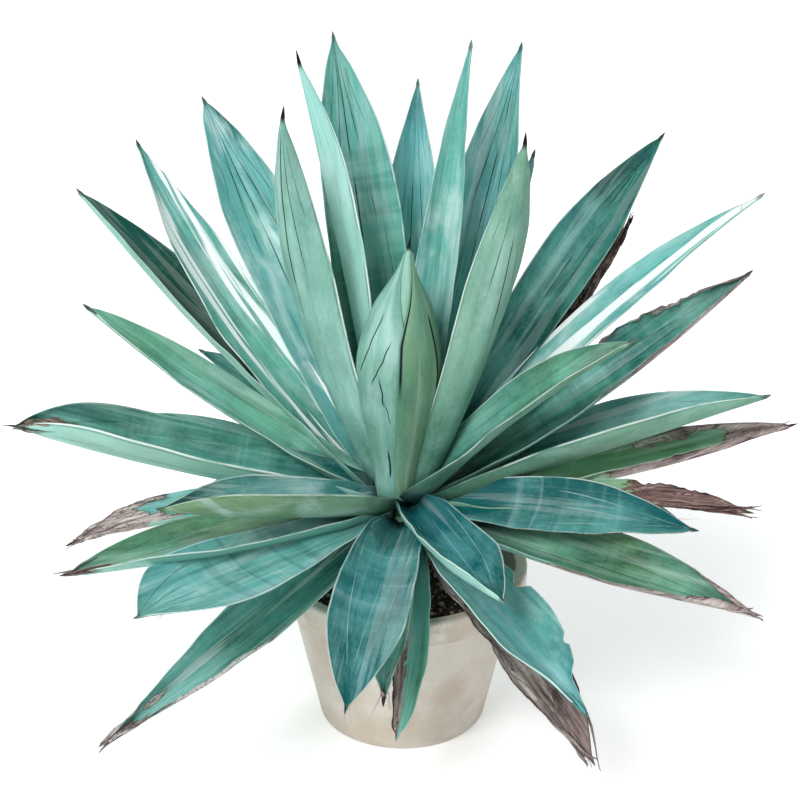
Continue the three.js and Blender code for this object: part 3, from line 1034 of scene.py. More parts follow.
class Blade:
    """A leaf's surface, read at any place across and along it."""

    STEPS = 72
    GROOVES = ((0.03, 0.48, 0.05), (0.33, 0.6, 0.04), (-0.3, 0.56, 0.04))  # place across, start, width
    GROOVE_DEPTH = 0.9
    CLASP_REACH = 0.16  # share of the length where the channel is steeper
    FLESH_REACH = 0.28  # share of it where the foot is thicker

    def __init__(self, leaf: Leaf) -> None:
        """Work out the leaf's path.

        Args:
            leaf: The leaf.
        """
        self.leaf = leaf
        self.rows = leaf.path(self.STEPS)

    def dryness(self, share: Array, across: Array) -> Array:
        """How dry the blade is, from 0 to 1.

        Args:
            share: Place along it.
            across: Place across it, -1 to 1.

        Returns:
            The dryness at each place.
        """
        leaf = self.leaf
        noise = 0.07 * ripple(leaf.seed + 5, across * 5.0, share * 18.0)
        tip = smooth(leaf.dry_from - 0.07, leaf.dry_from + 0.07, share + noise)
        amount = np.where(across < 0.0, leaf.dry_left, leaf.dry_right)
        start = smooth(leaf.side_from - 0.12, leaf.side_from + 0.12, share)
        inner = 1.0 - amount * start
        side = np.where(amount > 0.0, smooth(inner - 0.1, inner + 0.1, np.abs(across) + noise * 2.0), 0.0)
        return np.maximum(tip, side * start)

    def withered_under(self, share: Array, across: Array) -> Array:
        """How dry the lower face alone is, from 0 to 1.

        Args:
            share: Place along it.
            across: Place across it, -1 to 1.

        Returns:
            The dryness at each place.
        """
        leaf = self.leaf
        noise = 0.08 * ripple(leaf.seed + 7, across * 3.0, share * 11.0)
        return smooth(leaf.dry_under - 0.08, leaf.dry_under + 0.08, share + noise)

    def half_width(self, share: Array, across: Array, dry: Array) -> Array:
        """Half the blade's width on the side of a place, with its notches and torn edges.

        Args:
            share: Place along it.
            across: Place across it.
            dry: How dry it is there.

        Returns:
            The half width in mm.
        """
        leaf = self.leaf
        shape = width_share(share, leaf.belly, leaf.neck, leaf.taper, leaf.flare)
        pinched = shape * (1.0 - leaf.tier.value.pinch * smooth(0.17, 0.0, share))
        half = np.maximum(leaf.width / 2.0 * pinched, 1.6)
        side = np.where(across < 0.0, -1.0, 1.0)
        torn = np.clip(ripple(leaf.seed + 13, share * 17.0, side * 5.0, 2) + 0.3, 0.0, 1.0)
        jag = torn * np.clip(ripple(leaf.seed + 11, share * 60.0, side * 9.0, 4) + 0.25, 0.0, 1.2)
        notch = np.clip(ripple(leaf.seed + 17, share * 34.0, side * 7.0, 2) - 0.1, 0.0, 1.0)
        bite = np.where(across < 0.0, 0.0, leaf.bite_right) * smooth(0.35, 0.55, share)
        shrink = 1.0 - dry * (0.04 + 0.3 * leaf.ragged * jag) - bite * notch
        return np.maximum(half * np.clip(shrink, 0.12, 1.0), np.minimum(half, 1.6))

    def at(self, share: Array, across: Array, deeper: float = 0.0) -> dict[str, Array]:
        """Places on the blade.

        Args:
            share: Place along it, from 0 to 1.
            across: Place across it, from -1 at its left edge to 1.
            deeper: 0 for the upper face and 1 for the lower one.

        Returns:
            Arrays: point in mm, the directions forward, side and face, how dry it is, and out, the
            way from the midrib in mm.
        """
        leaf = self.leaf
        share, across = np.broadcast_arrays(np.asarray(share, float), np.asarray(across, float))
        station = share * (1.0 - leaf.spine / leaf.length) * self.STEPS
        index = np.minimum(station.astype(int), self.STEPS - 1)
        part = (station - index)[..., None]
        read = {key: rows[index] * (1.0 - part) + rows[index + 1] * part for key, rows in self.rows.items()}
        turn = np.radians(leaf.roll + leaf.twist * share)[..., None]
        side = read["across"] * np.cos(turn) + read["above"] * np.sin(turn)
        above = read["above"] * np.cos(turn) - read["across"] * np.sin(turn)

        dry = self.dryness(share, across)
        half = self.half_width(share, across, dry)
        reach = np.abs(across)
        sign = np.sign(across)
        opening = np.where(across > 0.0, leaf.right, leaf.left)
        clasp = np.exp(-((share / self.CLASP_REACH) ** 2))
        lift = opening + (leaf.clasp - opening) * clasp + leaf.tip_fold * share**4 + leaf.curl * dry
        lift = np.maximum(np.radians(lift), 0.02)
        # Each half curves up evenly from the midrib, along which a narrow strip is flat.
        flat = np.maximum(0.09 * (1.0 - smooth(0.6, 0.95, share)), 0.012)
        out = (np.sin(lift * (0.5 + reach)) - np.sin(lift * 0.5)) / lift
        up = (np.cos(lift * 0.5) - np.cos(lift * (0.5 + reach))) / lift
        up = up - lift * 0.5 * flat * (1.0 - np.exp(-reach / flat))
        slope = lift * (0.5 + reach) - lift * 0.5 * np.exp(-reach / flat)
        face = above * np.cos(slope)[..., None] - side * (sign * np.sin(slope))[..., None]

        fleshy = (leaf.tier.value.thickness - BLADE_THICKNESS) * np.exp(-((share / self.FLESH_REACH) ** 1.6))
        thick = np.maximum((BLADE_THICKNESS + fleshy) * (1.0 - 0.55 * share**3), 3.0) * (1.0 - 0.55 * dry)
        depth = MARGIN_THICKNESS + (thick - MARGIN_THICKNESS) * (1.0 - reach**1.6)
        thin = smooth(1.0, 0.97, share)
        waviness = leaf.wave + 2.5 * leaf.ragged * dry
        waves = waviness * ripple(leaf.seed + 23, share * 13.0, sign * 2.0, 3) * reach**2 * thin
        wrinkle = dry * ripple(leaf.seed + 31, across * 6.0, share * 14.0) * (1.0 + 2.0 * leaf.ragged) * thin
        groove = self.grooves(share, across) * (1.0 - deeper)
        offset = waves + wrinkle - groove - deeper * depth
        point = read["point"] + side * (sign * out * half)[..., None] + above * (up * half)[..., None]
        point = point + face * offset[..., None]
        read.update(point=point, face=face, side=side, dry=dry, out=half * across)
        return read

    def grooves(self, share: Array, across: Array) -> Array:
        """Depth of the folds that run back from the tip.

        Args:
            share: Place along the blade.
            across: Place across it, -1 to 1.

        Returns:
            The depth at each place in mm.
        """
        total = np.zeros(np.broadcast(share, across).shape)
        for place, start, wide in self.GROOVES:
            line = self.GROOVE_DEPTH * np.exp(-(((across - place) / wide) ** 2))
            total = total + line * smooth(start, start + 0.25, share) * smooth(1.0, 0.93, share)
        return total * self.leaf.look.crease


@dataclass(frozen=True)
class Rosette:
    """All the leaves on the stem, each its own piece in the place of its solid."""

    skin: bpy.types.Material
    slots: dict[str, str]  # each node's material slot in the record
    along: int = 112
    across: int = 28
    spine_rings: int = 7

    def blade(self, draft: Draft, blade: Blade) -> None:
        """Draw the blade and its spine as one closed shell.

        Args:
            draft: Takes the shell.
            blade: The blade.
        """
        leaf = blade.leaf
        # The stations lie closer towards the tip, and the points across them towards the edges.
        even = np.linspace(0.0, 1.0, self.along)
        share = (0.75 * even + 0.25 * np.sin(even * math.pi / 2.0))[:, None]
        half_turn = np.linspace(-math.pi / 2.0, math.pi / 2.0, self.across + 1)
        across = (0.55 * np.sin(half_turn) + 0.45 * half_turn * 2.0 / math.pi)[None, :]
        upper = blade.at(share, across, 0.0)
        lower = blade.at(share, across, 1.0)
        shares, places = np.broadcast_arrays(share, across)
        rings = np.concatenate([upper["point"], lower["point"][:, ::-1]], axis=1)
        place = layers(both_faces(places), both_faces(shares), facing(shares))
        long = both_faces(shares) * leaf.length * MM
        grain = layers(both_faces(upper["out"]) * MM, long, leaf.seed * 0.37)
        under = np.maximum(lower["dry"], blade.withered_under(shares, places))
        dry = np.concatenate([upper["dry"], under[:, ::-1]], axis=1)
        horn = leaf.horn * smooth(0.982, 0.998, both_faces(shares))
        state = layers(dry, horn, 0.0, 1.0)

        end = blade.rows["point"][-1]
        last = rings[-1]
        middle = last.mean(axis=0)
        tips = []
        for k in range(1, self.spine_rings):
            t = k / self.spine_rings
            tips.append(middle + (end - middle) * t + (last - middle) * (1.0 - t) ** 0.8)
        extra = len(tips)
        horny = state[-1].copy()
        horny[:, 1] = leaf.horn
        draft.tube(
            np.concatenate([rings, tips]),
            apex=end,
            place=np.concatenate([place, [place[-1]] * extra]),
            grain=np.concatenate([grain, [grain[-1]] * extra]),
            state=np.concatenate([state, [horny] * extra]),
        )

    def strip(self, draft: Draft, blade: Blade, draw: np.random.Generator) -> None:
        """Add a torn strip that lifts off the blade near its tip.

        Args:
            draft: Takes it.
            blade: The blade it is torn from.
            draw: Random draws.
        """
        leaf = blade.leaf
        start = draw.uniform(min(max(leaf.dry_from, 0.5), 0.88), 0.93)
        first = draw.uniform(-0.8, 0.8)
        drift = draw.uniform(-0.5, 0.5)
        wide = draw.uniform(1.5, 4.5)
        rise = draw.uniform(-6.0, 10.0)
        beyond = draw.uniform(0.0, 18.0)
        curl = draw.uniform(-10.0, 10.0)
        count = 16
        t = np.linspace(0.0, 1.0, count)
        share = np.minimum(start + (1.0 - start) * t * 1.05, 0.995)
        on = blade.at(share, np.clip(first + drift * t, -0.95, 0.95), 0.5)
        point = on["point"] + on["face"] * (rise * t**2)[:, None] + on["forward"] * (beyond * t**2)[:, None]
        point = point + on["side"] * (curl * t**3)[:, None]
        width = wide * np.sin(math.pi * (0.12 + 0.85 * t)) * (1.0 - 0.6 * t)
        corners = ((-1.0, 1.0), (1.0, 1.0), (1.0, -1.0), (-1.0, -1.0))
        flat, thick = on["side"] * width[:, None], on["face"] * 0.35
        rings = np.stack([point + flat * out + thick * up for out, up in corners], axis=1)
        grain = np.zeros((count, 4, 3))
        grain[..., 0] = draw.uniform(0.0, 0.2) + np.array([-1.0, 1.0, 1.0, -1.0]) * wide * MM
        grain[..., 1] = (share * leaf.length * MM)[:, None]
        dry = 1.0 if leaf.dry_from < 1.0 else 0.0
        draft.tube(rings, place=[0.0, 0.9, 1.0], grain=grain, state=[dry, 0.0, 0.0, 1.0])

    def fibre(self, draft: Draft, blade: Blade, draw: np.random.Generator) -> None:
        """Add a loose fibre that trails from the tip.

        Args:
            draft: Takes it.
            blade: The blade it hangs from.
            draw: Random draws.
        """
        start = blade.at(draw.uniform(0.9, 0.97), draw.uniform(-0.7, 0.7), 0.5)
        length = draw.uniform(14.0, 30.0)
        ahead = start["forward"] + start["side"] * draw.uniform(-0.5, 0.5)
        bend = start["side"] * draw.uniform(-0.8, 0.8) + start["face"] * draw.uniform(-0.3, 0.5)
        t = np.linspace(0.0, 1.0, 12)[:, None]
        wiggle = start["side"] * 1.2 * np.sin(9.0 * t + draw.uniform(0.0, 6.0)) * t
        spine = start["point"] + ahead * length * t + bend * length * 0.5 * t**2 + wiggle - UP * (3.0 * t**2)
        angles = full_turn(5)[0][:, None]
        ring = start["side"][None] * np.cos(angles) - start["face"][None] * np.sin(angles)
        radius = 0.38 * (1.0 - 0.75 * t)
        rings = spine[:, None, :] + ring[None] * radius[:, :, None]
        state = [0.9, float(draw.uniform(0.0, 0.6)), 0.0, 1.0]
        draft.tube(rings, place=[0.0, 0.95, 1.0], grain=[0.0, 0.0, 0.3], state=state)

    def add(self, node: str, leaf: Leaf) -> None:
        """Build a leaf in the place of its solid.

        Args:
            node: The solid's name.
            leaf: The leaf.
        """
        draft = Draft()
        blade = Blade(leaf)
        self.blade(draft, blade)
        draw = np.random.default_rng(leaf.seed)
        for _ in range(leaf.shreds):
            self.strip(draft, blade, draw)
        for _ in range(leaf.wisps):
            self.fibre(draft, blade, draw)
        settle(draft.build(f"{node}_skin", self.skin, leaf.look), node, self.slots[node])

    def build(self) -> None:
        """Build every leaf of every tier."""
        seed = 1
        look_names = {entry.name for entry in fields(Look)}
        for tier, rows in LEAVES.items():
            for number, (turn, rise, length, width, more) in enumerate(rows, 1):
                look = Look(**{key: more[key] for key in more if key in look_names})
                shape = {key: more[key] for key in more if key not in look_names}
                leaf = Leaf(turn, rise, length, width, tier=tier, look=look, seed=seed, **shape)
                self.add(f"{tier.name.lower()}_leaf_{number}", leaf)
                seed += 1


# Rows are: turn from the front (+ is to the right), rise from level, length, width, and what differs.
LEAVES: dict[Tier, list[tuple[float, float, float, float, dict[str, Any]]]] = {
    Tier.INNER: [
        (-160, 69, 540, 104, dict(
            droop=8, roll=-14, belly=0.6, taper=2.1, green=0.38, deep=0.1, pale=0.4, bands=0.6, ghost=0.4,
            crease=1.0, left_rim=0.5)),
        (-134, 76, 522, 76, dict(
            droop=6, roll=24, twist=60, spine=16, horn=1.0, green=0.5, pale=0.5, olive=0.05, under=0.0,
            crease=0.3, right_rim=1.0, left_rim=0.5)),
        (-98, 62, 486, 92, dict(
            droop=-34, roll=22, twist=50, spine=14, horn=1.0, green=0.5, pale=0.35, olive=0.12, under=0.48,
            crease=0.9, right_rim=1.0, left_rim=0.4)),
        (72, 49, 342, 78, dict(
            droop=15, roll=20, neck=0.8, green=0.7, deep=0.7, pale=0.15, olive=0.6, under=0.6,
            right_rim=0.4, left_rim=0.4)),
        (80, 67, 466, 76, dict(
            droop=-20, roll=-25, twist=-45, belly=0.58, spine=14, horn=1.0, green=0.6, pale=0.3, olive=0.45,
            under=0.52, crease=0.9, left_rim=0.7, right_rim=0.5)),
        (137, 67, 538, 98, dict(
            droop=6, sway=10, roll=16, green=0.15, deep=0.4, pale=0.5, crease=1.0, streak=0.2)),
        (149, 77, 525, 56, dict(
            droop=4, roll=10, belly=0.45, green=0.3, deep=0.0, pale=0.6, crease=0.3, right_rim=0.5)),
    ],
    Tier.UPPER: [
        (-136, 53, 524, 98, dict(
            droop=2, roll=-34, belly=0.68, green=0.15, deep=0.15, pale=1.0, crease=1.0, lean=0.05)),
        (-119, 39, 512, 80, dict(
            droop=-24, roll=-30, green=0.4, deep=0.4, pale=0.5, streak=1.0, right_rim=0.8)),
        (-115, 36, 515, 86, dict(
            droop=-6, right=50, roll=-18, green=0.65, deep=1.35, pale=0.0, crease=0.9, olive=0.3, under=0.2)),
        (-96, 31, 414, 64, dict(
            droop=-7, roll=-20, taper=2.1, green=0.6, deep=0.25, pale=0.3, right_rim=0.5)),
        (-82, 14, 440, 110, dict(
            droop=-6, left=42, right=54, roll=-14, taper=4, green=0.4, deep=0.55, pale=0.2, olive=0.2,
            under=0.0, right_rim=0.9, bands=0.4, dry_from=0.965, ragged=0.9, shreds=3, rust=0.15, horn=0.3,
            lean=0.3)),
        (-49, 15, 338, 92, dict(
            droop=-8, left=46, right=58, roll=-8, green=0.25, pale=1.0, streak=0.4, olive=0.85, under=0.3,
            left_rim=0.4, right_rim=0.5)),
        (23, -3, 254, 90, dict(
            droop=-12, left=50, right=20, roll=14, neck=0.8, belly=0.62, green=0.1, deep=1.05, pale=0.1,
            ghost=0.5, crease=0.6, olive=0.1, under=0.0, left_rim=0.5, right_rim=0.4)),
        (68, 10, 332, 76, dict(
            droop=12, roll=28, left=12, green=0.15, deep=1.0, pale=0.1, bands=0.8, ghost=0.7,
            dry_under=0.3, paper=0.9, rust=0.4, wisps=2, right_rim=0.5, lean=0.6)),
        (88, 20, 420, 98, dict(
            droop=1, left=60, right=36, roll=16, green=0.38, deep=0.5, streak=0.3, olive=0.6, under=0.6,
            left_rim=0.6)),
        (96, 32, 464, 100, dict(
            droop=-9, left=36, right=40, roll=24, green=0.5, deep=0.7, dry_right=0.1, side_from=0.5,
            ragged=0.5, olive=0.5, bands=0.6, dry_under=0.5, paper=0.5, rust=0.5, lean=0.6)),
        (106, 46, 534, 56, dict(
            droop=16, roll=22, green=0.2, deep=0.2, pale=0.9, streak=1.0, wisps=2)),
        (122, 52, 515, 82, dict(
            droop=8, roll=34, belly=0.66, neck=0.5, green=0.35, deep=1.05, pale=0.05, crease=0.9,
            right_rim=0.3)),
        (146, 50, 438, 60, dict(droop=-8, roll=16, green=0.1, deep=0.75)),
        (176, 64, 495, 84, dict(
            droop=8, green=0.04, deep=0.15, pale=0.45, crease=0.9, left_rim=0.4, right_rim=0.4)),
    ],
    Tier.MIDDLE: [
        (-136, 20, 355, 56, dict(droop=16, roll=-20, green=0.4, deep=0.9)),
        (-106, 18, 340, 64, dict(droop=16, green=0.5, deep=0.8)),
        (-73, 13, 370, 60, dict(
            droop=28, roll=-10, taper=2.5, green=0.25, deep=0.3, pale=0.6, dry_from=0.68, ragged=0.5,
            shreds=3, paper=0.75, rust=0.4)),
        (-55, 5, 415, 88, dict(
            droop=-4, roll=-10, right=36, green=0.75, deep=0.45, pale=0.15, olive=0.1, under=0.0,
            dry_from=0.94, ragged=0.3, shreds=2, rust=0.2, paper=0.0, right_rim=0.6, lean=0.4)),
        (-44, 5, 376, 110, dict(
            droop=5, roll=-11, left=8, right=8, belly=0.75, neck=0.45, taper=2.6, green=0.12, deep=0.2,
            pale=0.5, bands=0.7, ghost=0.6, crease=0.6, wisps=3, right_rim=0.5, left_rim=0.3)),
        (61, -5, 414, 94, dict(
            droop=-4, roll=20, left=38, green=0.75, deep=0.75, pale=0.1, dry_from=0.92, ragged=0.4, shreds=4,
            rust=0.1, dry_under=0.45, paper=0.6)),
        (93, 8, 442, 92, dict(
            droop=-10, green=1.0, deep=0.0, pale=0.6, olive=0.9, under=0.2, dry_from=0.8, dry_right=0.3,
            side_from=0.5, ragged=0.4, shreds=3, rust=0.6, dry_under=0.5, paper=0.5)),
        (77, 12.5, 380, 62, dict(
            droop=16.5, left=0, roll=-4, taper=2.2, green=1.0, deep=0.3, pale=0.05, dry_from=0.6, ragged=0.6,
            shreds=10, rust=0.9, paper=0.2, curl=10)),
        (126, 33, 345, 64, dict(
            droop=3, green=0.8, deep=0.8, dry_from=0.8, dry_right=0.5, side_from=0.35, ragged=0.9, shreds=4,
            rust=0.7)),
        (119, 43, 418, 52, dict(
            droop=-22, bend=4, green=0.7, deep=0.9, dry_from=0.5, ragged=0.7, shreds=5, rust=0.5, paper=0.0,
            curl=24)),
        (-172, 36, 400, 84, dict(droop=16, green=0.3, bands=0.5)),
        (150, 28, 400, 80, dict(droop=20, green=0.2, bands=0.4, pale=0.4)),
    ],
    Tier.LOWER: [
        (-47, -21, 430, 84, dict(
            droop=-10, roll=-24, left=36, right=36, belly=0.5, taper=1.25, green=0.3, deep=0.4, pale=0.35,
            olive=0.1, under=0.0, wisps=5, dry_from=0.88, dry_right=0.2, side_from=0.5, ragged=0.3, shreds=3,
            paper=0.9, rust=0.3, left_rim=0.5, streak=0.35)),
        (-7, 16, 312, 91, dict(
            droop=78, sway=-12, left=18, right=14, roll=-8, belly=0.68, green=0.12, deep=1.0, pale=0.1,
            bands=0.7, ghost=0.6, crease=0.5, wisps=4, left_rim=0.4, right_rim=0.35)),
        (33, -12, 336, 92, dict(
            droop=5, roll=8, belly=0.6, neck=0.6, green=0.15, deep=0.45, pale=0.35, bite_right=0.4, wisps=5,
            shreds=4, olive=0.1, under=0.0, left_rim=0.5, lean=0.6)),
        (178, 12, 400, 78, dict(droop=30, green=0.2, ghost=0.5, bands=0.5)),
        (-158, 20, 400, 80, dict(droop=30, green=0.3)),
        (148, 8, 410, 80, dict(droop=30, green=0.5, dry_from=0.93, ragged=0.5, shreds=3)),
        (104, 2, 345, 70, dict(droop=34, green=0.4, deep=0.7)),
    ],
    Tier.SKIRT: [
        (-5, 6, 250, 60, dict(droop=76, green=0.4, pale=0.5, wisps=3, dry_from=0.94, ragged=0.5)),
        (6, -4, 274, 46, dict(
            droop=80, sway=-18, left=24, right=24, belly=0.4, neck=0.9, taper=5, green=0.4, deep=0.1,
            pale=0.2, dry_left=0.9, side_from=0.02, ragged=0.15, rust=0.1, paper=0.0, horn=0.2)),
        (36, -19, 352, 84, dict(
            droop=14, left=12, right=12, roll=6, taper=2.5, dry_from=0.05, ragged=0.3, shreds=7, rust=0.3,
            paper=0.3, curl=14, horn=0.3)),
        (-132, -2, 390, 78, dict(droop=44, green=0.3, pale=0.4)),
        (130, 0, 380, 78, dict(droop=42, green=0.5, dry_from=0.85, ragged=0.5, shreds=4, paper=0.3)),
        (158, -6, 390, 74, dict(droop=40, green=0.3, wisps=3)),
        (-168, -4, 380, 74, dict(droop=48, green=0.4, dry_from=0.7, ragged=0.5, shreds=6, rust=0.6)),
        (-112, -8, 310, 70, dict(droop=40, green=0.5, deep=0.6, wisps=3)),
    ],
}


@dataclass(frozen=True)
class Wrap:
    """A young leaf still wrapped round the bud."""

    node: str
    turn: float
    top: float  # share of the bud's height that it reaches
    layer: int
    seed: int
    look: Look


@dataclass(frozen=True)
class Bud:
    """The pointed heart: rolled leaves in the middle and three that are opening round them."""

    skin: bpy.types.Material
    foot: float = 300.0
    height: float = 307.0
    core_radius: float = 44.0
    belly: float = 0.5
    neck: float = 0.5
    taper: float = 1.25
    fuller: float = 0.1  # how much wider it is from its middle up
    drawn_in: float = 0.52  # how much narrower under the spine
    top: float = 1.02  # share of the height where the spine ends
    spine: float = 0.06  # share of it that the spine tapers over
    spine_radius: float = 2.3
    wrap_thickness: float = 3.0
    wrap_angle: float = 62.0  # half of the turn that one wrapped leaf covers
    seam_turn: float = -80.0  # where the core's outer edge starts, and how far it winds, in radians
    seam_wind: float = 0.9
    seam_depth: float = 0.07  # depth of its step, as a share of the radius
    low: float = -0.09  # share of the height where the pieces start, between the leaf feet
    wraps: tuple[Wrap, ...] = (
        Wrap("bud_leaf_left", -52.0, 0.975, 1, 71, Look(
            green=0.3, olive=0.2, under=0.42, pale=0.4, ghost=0.4, crease=0.2, slits=1.0)),
        Wrap("bud_leaf_back", 180.0, 0.90, 1, 72, Look(green=0.4, olive=0.3, crease=0.3)),
        Wrap("bud_leaf_right", 62.0, 0.96, 2, 73, Look(
            green=0.8, olive=0.85, under=0.62, pale=0.1, crease=0.2, left_rim=0.0, right_rim=1.0, slits=0.5)),
    )

    def axis(self, share: Array) -> Array:
        """The middle of the bud, which leans a little, at a share of its height."""
        return layers(-8.0 + 16.0 * share**3, 4.0 * share, self.foot + self.height * share)

    def radius(self, share: Array) -> Array:
        """The bud's radius at a share of its height, drawn in under the spine."""
        swell = 1.0 + self.fuller * smooth(0.45, 0.65, share) - self.drawn_in * smooth(0.74, 0.95, share)
        return width_share(share, self.belly, self.neck, self.taper) * self.core_radius * swell

    def hidden(self, share: Array) -> Array:
        """1 at the bud's foot, deep between the leaf feet, and 0 from a little above it."""
        return smooth(0.07, self.low * 0.5, share)

    def core(self) -> None:
        """Draw the rolled middle, whose outer edge winds down it as a low step, and its spine."""
        share = np.linspace(self.low, self.top - 0.004, 130)[:, None]
        angle = full_turn(72)
        seam = math.radians(self.seam_turn) + self.seam_wind * share
        wound = ((angle - seam) / (2.0 * math.pi)) % 1.0
        step = smooth(0.0, 0.02, wound) * (1.0 - wound)
        spine = self.spine_radius * np.clip((self.top - share) / self.spine, 0.08, 1.0)
        radius = np.maximum(self.radius(share) * (1.0 - self.seam_depth + self.seam_depth * step), spine)
        rings = round_about(radius, angle, 0.0) + self.axis(share)
        shares, turns = np.broadcast_arrays(share, 2.0 * wound - 1.0)
        # The place along is lowered at the foot, deep between the leaf feet, so that the skin paints shade
        # there as at a leaf's foot.
        reached = 0.3 + 0.4 * shares - 0.28 * self.hidden(shares)
        place = layers(turns, reached, -1.0)
        grain = layers(turns * 0.09, shares * self.height * MM, 0.6)
        state = layers(0.0, smooth(0.955, 0.968, shares), 0.0, 1.0)
        draft = Draft()
        draft.tube(rings, apex=self.axis(self.top), place=place, grain=grain, state=state)
        look = Look(green=0.5, deep=0.1, olive=0.3, under=0.15, crease=0.0)
        settle(draft.build("bud_core_skin", self.skin, look), "bud_core", "young_leaf")

    def wrap(self, wrap: Wrap) -> None:
        """Draw one wrapped leaf.

        Args:
            wrap: Which leaf.
        """
        share = np.linspace(self.low, 0.985 * wrap.top, 100)[:, None]
        along = np.clip(share / wrap.top, 0.0, 1.0)
        u = np.linspace(-1.0, 1.0, 44)[None, :]
        # It covers its full turn up to near its tip, and closes there.
        opening = np.radians(self.wrap_angle) * np.minimum(1.0, 1.15 * np.maximum(1.0 - along**5, 0.05))
        base = self.radius(share) + GAP
        angle = math.radians(wrap.turn) + u * opening
        body = self.wrap_thickness * wrap.layer - MARGIN_THICKNESS
        depth = (MARGIN_THICKNESS + body * (1.0 - np.abs(u) ** 3 / wrap.layer)) * (1.0 - 0.6 * along**4)
        ridge = 0.5 * np.exp(-((u / 0.16) ** 2)) * smooth(0.3, 0.8, along)
        relief = 0.35 * ripple(wrap.seed, u * 6.0, along * 5.0) + ridge

        def at(radius: Array) -> Array:
            """Points at a radius round the bud's middle."""
            return round_about(radius, math.pi / 2.0 - angle, 0.0) + self.axis(share)

        outside = at(base + depth + relief * (1.0 - u**4))
        inside = at(base - 0.12 + 0.0 * u)
        rings = np.concatenate([inside, outside[:, ::-1]], axis=1)
        shares, places = np.broadcast_arrays(along, u)
        # The place along is lowered at the foot, deep between the leaf feet, so that the skin paints shade
        # there as at a leaf's foot.
        reached = 0.3 + 0.5 * shares - 0.3 * self.hidden(share)
        place = layers(both_faces(places), both_faces(reached), facing(shares))
        long = both_faces(shares) * self.height * MM
        grain = layers(both_faces(places) * 0.05, long, wrap.seed * 0.37)
        state = layers(0.0, 0.5 * smooth(0.98, 1.0, both_faces(shares)), 0.0, 1.0)
        top = math.pi / 2.0 - math.radians(wrap.turn)
        apex = round_about(self.radius(wrap.top) + GAP + 0.4, top, 0.0) + self.axis(wrap.top)
        draft = Draft()
        draft.tube(rings, apex=apex, place=place, grain=grain, state=state)
        settle(draft.build(f"{wrap.node}_skin", self.skin, wrap.look), wrap.node, "young_leaf")

    def build(self) -> None:
        """Build the core and the wrapped leaves."""
        self.core()
        for wrap in self.wraps:
            self.wrap(wrap)


@dataclass(frozen=True)
class Pot:
    """The plain turned pot with a band at its mouth and drain holes in its floor."""

    clay: bpy.types.Material
    height: float = 200.0
    rim_radius: float = 148.0
    foot_radius: float = 100.0
    wall: float = 9.0
    floor: float = 12.0
    rim_band: float = 34.0
    rim_step: float = 12.0  # how far the band stands out
    drain_count: int = 3
    drain_radius: float = 7.0
    drain_circle: float = 45.0
    soil_below_rim: float = 22.0
    soil_mound: float = 7.0
    unround: float = 0.25  # how far the wall wanders from a true circle

    @property
    def soil_level(self) -> float:
        """Height of the soil at the stem."""
        return self.height - self.soil_below_rim

    def inside(self, height: float) -> float:
        """The pot's inner radius at a height."""
        slope = (self.rim_radius - self.rim_step - self.foot_radius) / (self.height - self.rim_band)
        return self.foot_radius + slope * height - self.wall

    def outline(self) -> Array:
        """The section of the turned pot, from its underside over the rim to its floor.

        Returns:
            Rows of radius and height, with rounded corners and no long gaps.
        """
        band = self.height - self.rim_band
        corners = [
            (self.drain_circle * 1.6, 0.0, 0.0),
            (self.foot_radius, 0.0, 3.0),
            (self.rim_radius - self.rim_step, band, 2.5),
            (self.rim_radius - 0.5, band + 2.5, 3.0),
            (self.rim_radius + 1.0, self.height, 4.5),
            (self.inside(self.height), self.height, 3.0),
            (self.inside(self.floor), self.floor, 4.0),
            (self.drain_circle * 1.6, self.floor, 0.0),
        ]
        points: list[Array] = []
        for index, (x, z, radius) in enumerate(corners):
            here = np.array([x, z])
            if radius == 0.0:
                points.append(here)
                continue
            before = np.array(corners[index - 1][:2]) - here
            after = np.array(corners[index + 1][:2]) - here
            start = here + before / np.linalg.norm(before) * radius
            end = here + after / np.linalg.norm(after) * radius
            for t in np.linspace(0.0, 1.0, 7):
                points.append(start * (1.0 - t) ** 2 + here * 2.0 * t * (1.0 - t) + end * t * t)
        dense: list[Array] = []
        for a, b in zip(points, points[1:]):
            pieces = max(1, int(np.linalg.norm(b - a) / 12.0))
            dense.extend(a + (b - a) * k / pieces for k in range(pieces))
        dense.append(points[-1])
        return np.array(dense)

    def drill(self, piece: bpy.types.Object) -> None:
        """Cut the drain holes and leave nothing but the cut mesh.

        Args:
            piece: The pot.
        """
        cutter = Draft()
        for around in full_turn(self.drain_count)[0] - math.pi / 2.0:
            middle = round_about(self.drain_circle, -around, 0.0)
            height = np.array([[-self.floor / 2.0], [self.floor * 1.5]])
            cutter.tube(round_about(self.drain_radius, full_turn(40), height) + middle)
        tool = cutter.build("drain_tool", self.clay)
        cut = piece.modifiers.new("drains", "BOOLEAN")
        cut.operation = "DIFFERENCE"
        cut.solver = "EXACT"
        cut.object = tool
        graph = bpy.context.evaluated_depsgraph_get()
        holed = bpy.data.meshes.new_from_object(piece.evaluated_get(graph))
        piece.modifiers.clear()
        piece.data = holed
        bpy.data.objects.remove(tool)
        holed.polygons.foreach_set("use_smooth", [True] * len(holed.polygons))
        holed.set_sharp_from_angle(angle=math.radians(40.0))

    def build(self) -> None:
        """Draw the turned wall, and cut the drain holes out of its floor."""
        outline = self.outline()
        angle = full_turn(192)
        radius, height = outline[:, :1], outline[:, 1:]
        wander = self.unround * ripple(83, 2.0 * np.cos(angle), height * 0.02 + 2.0 * np.sin(angle), 2)
        rings = round_about(radius + wander * smooth(0.0, 8.0, height), angle, height)
        draft = Draft()
        draft.tube(rings)
        piece = draft.build("pot_clay", self.clay)
        self.drill(piece)
        mesh = piece.data
        places = np.zeros(len(mesh.vertices) * 3)
        mesh.vertices.foreach_get("co", places)
        places = places.reshape(-1, 3)[:, [0, 2, 1]]
        mesh.attributes["grain"].data.foreach_set("vector", places.ravel())
        settle(piece, "pot", "pot")


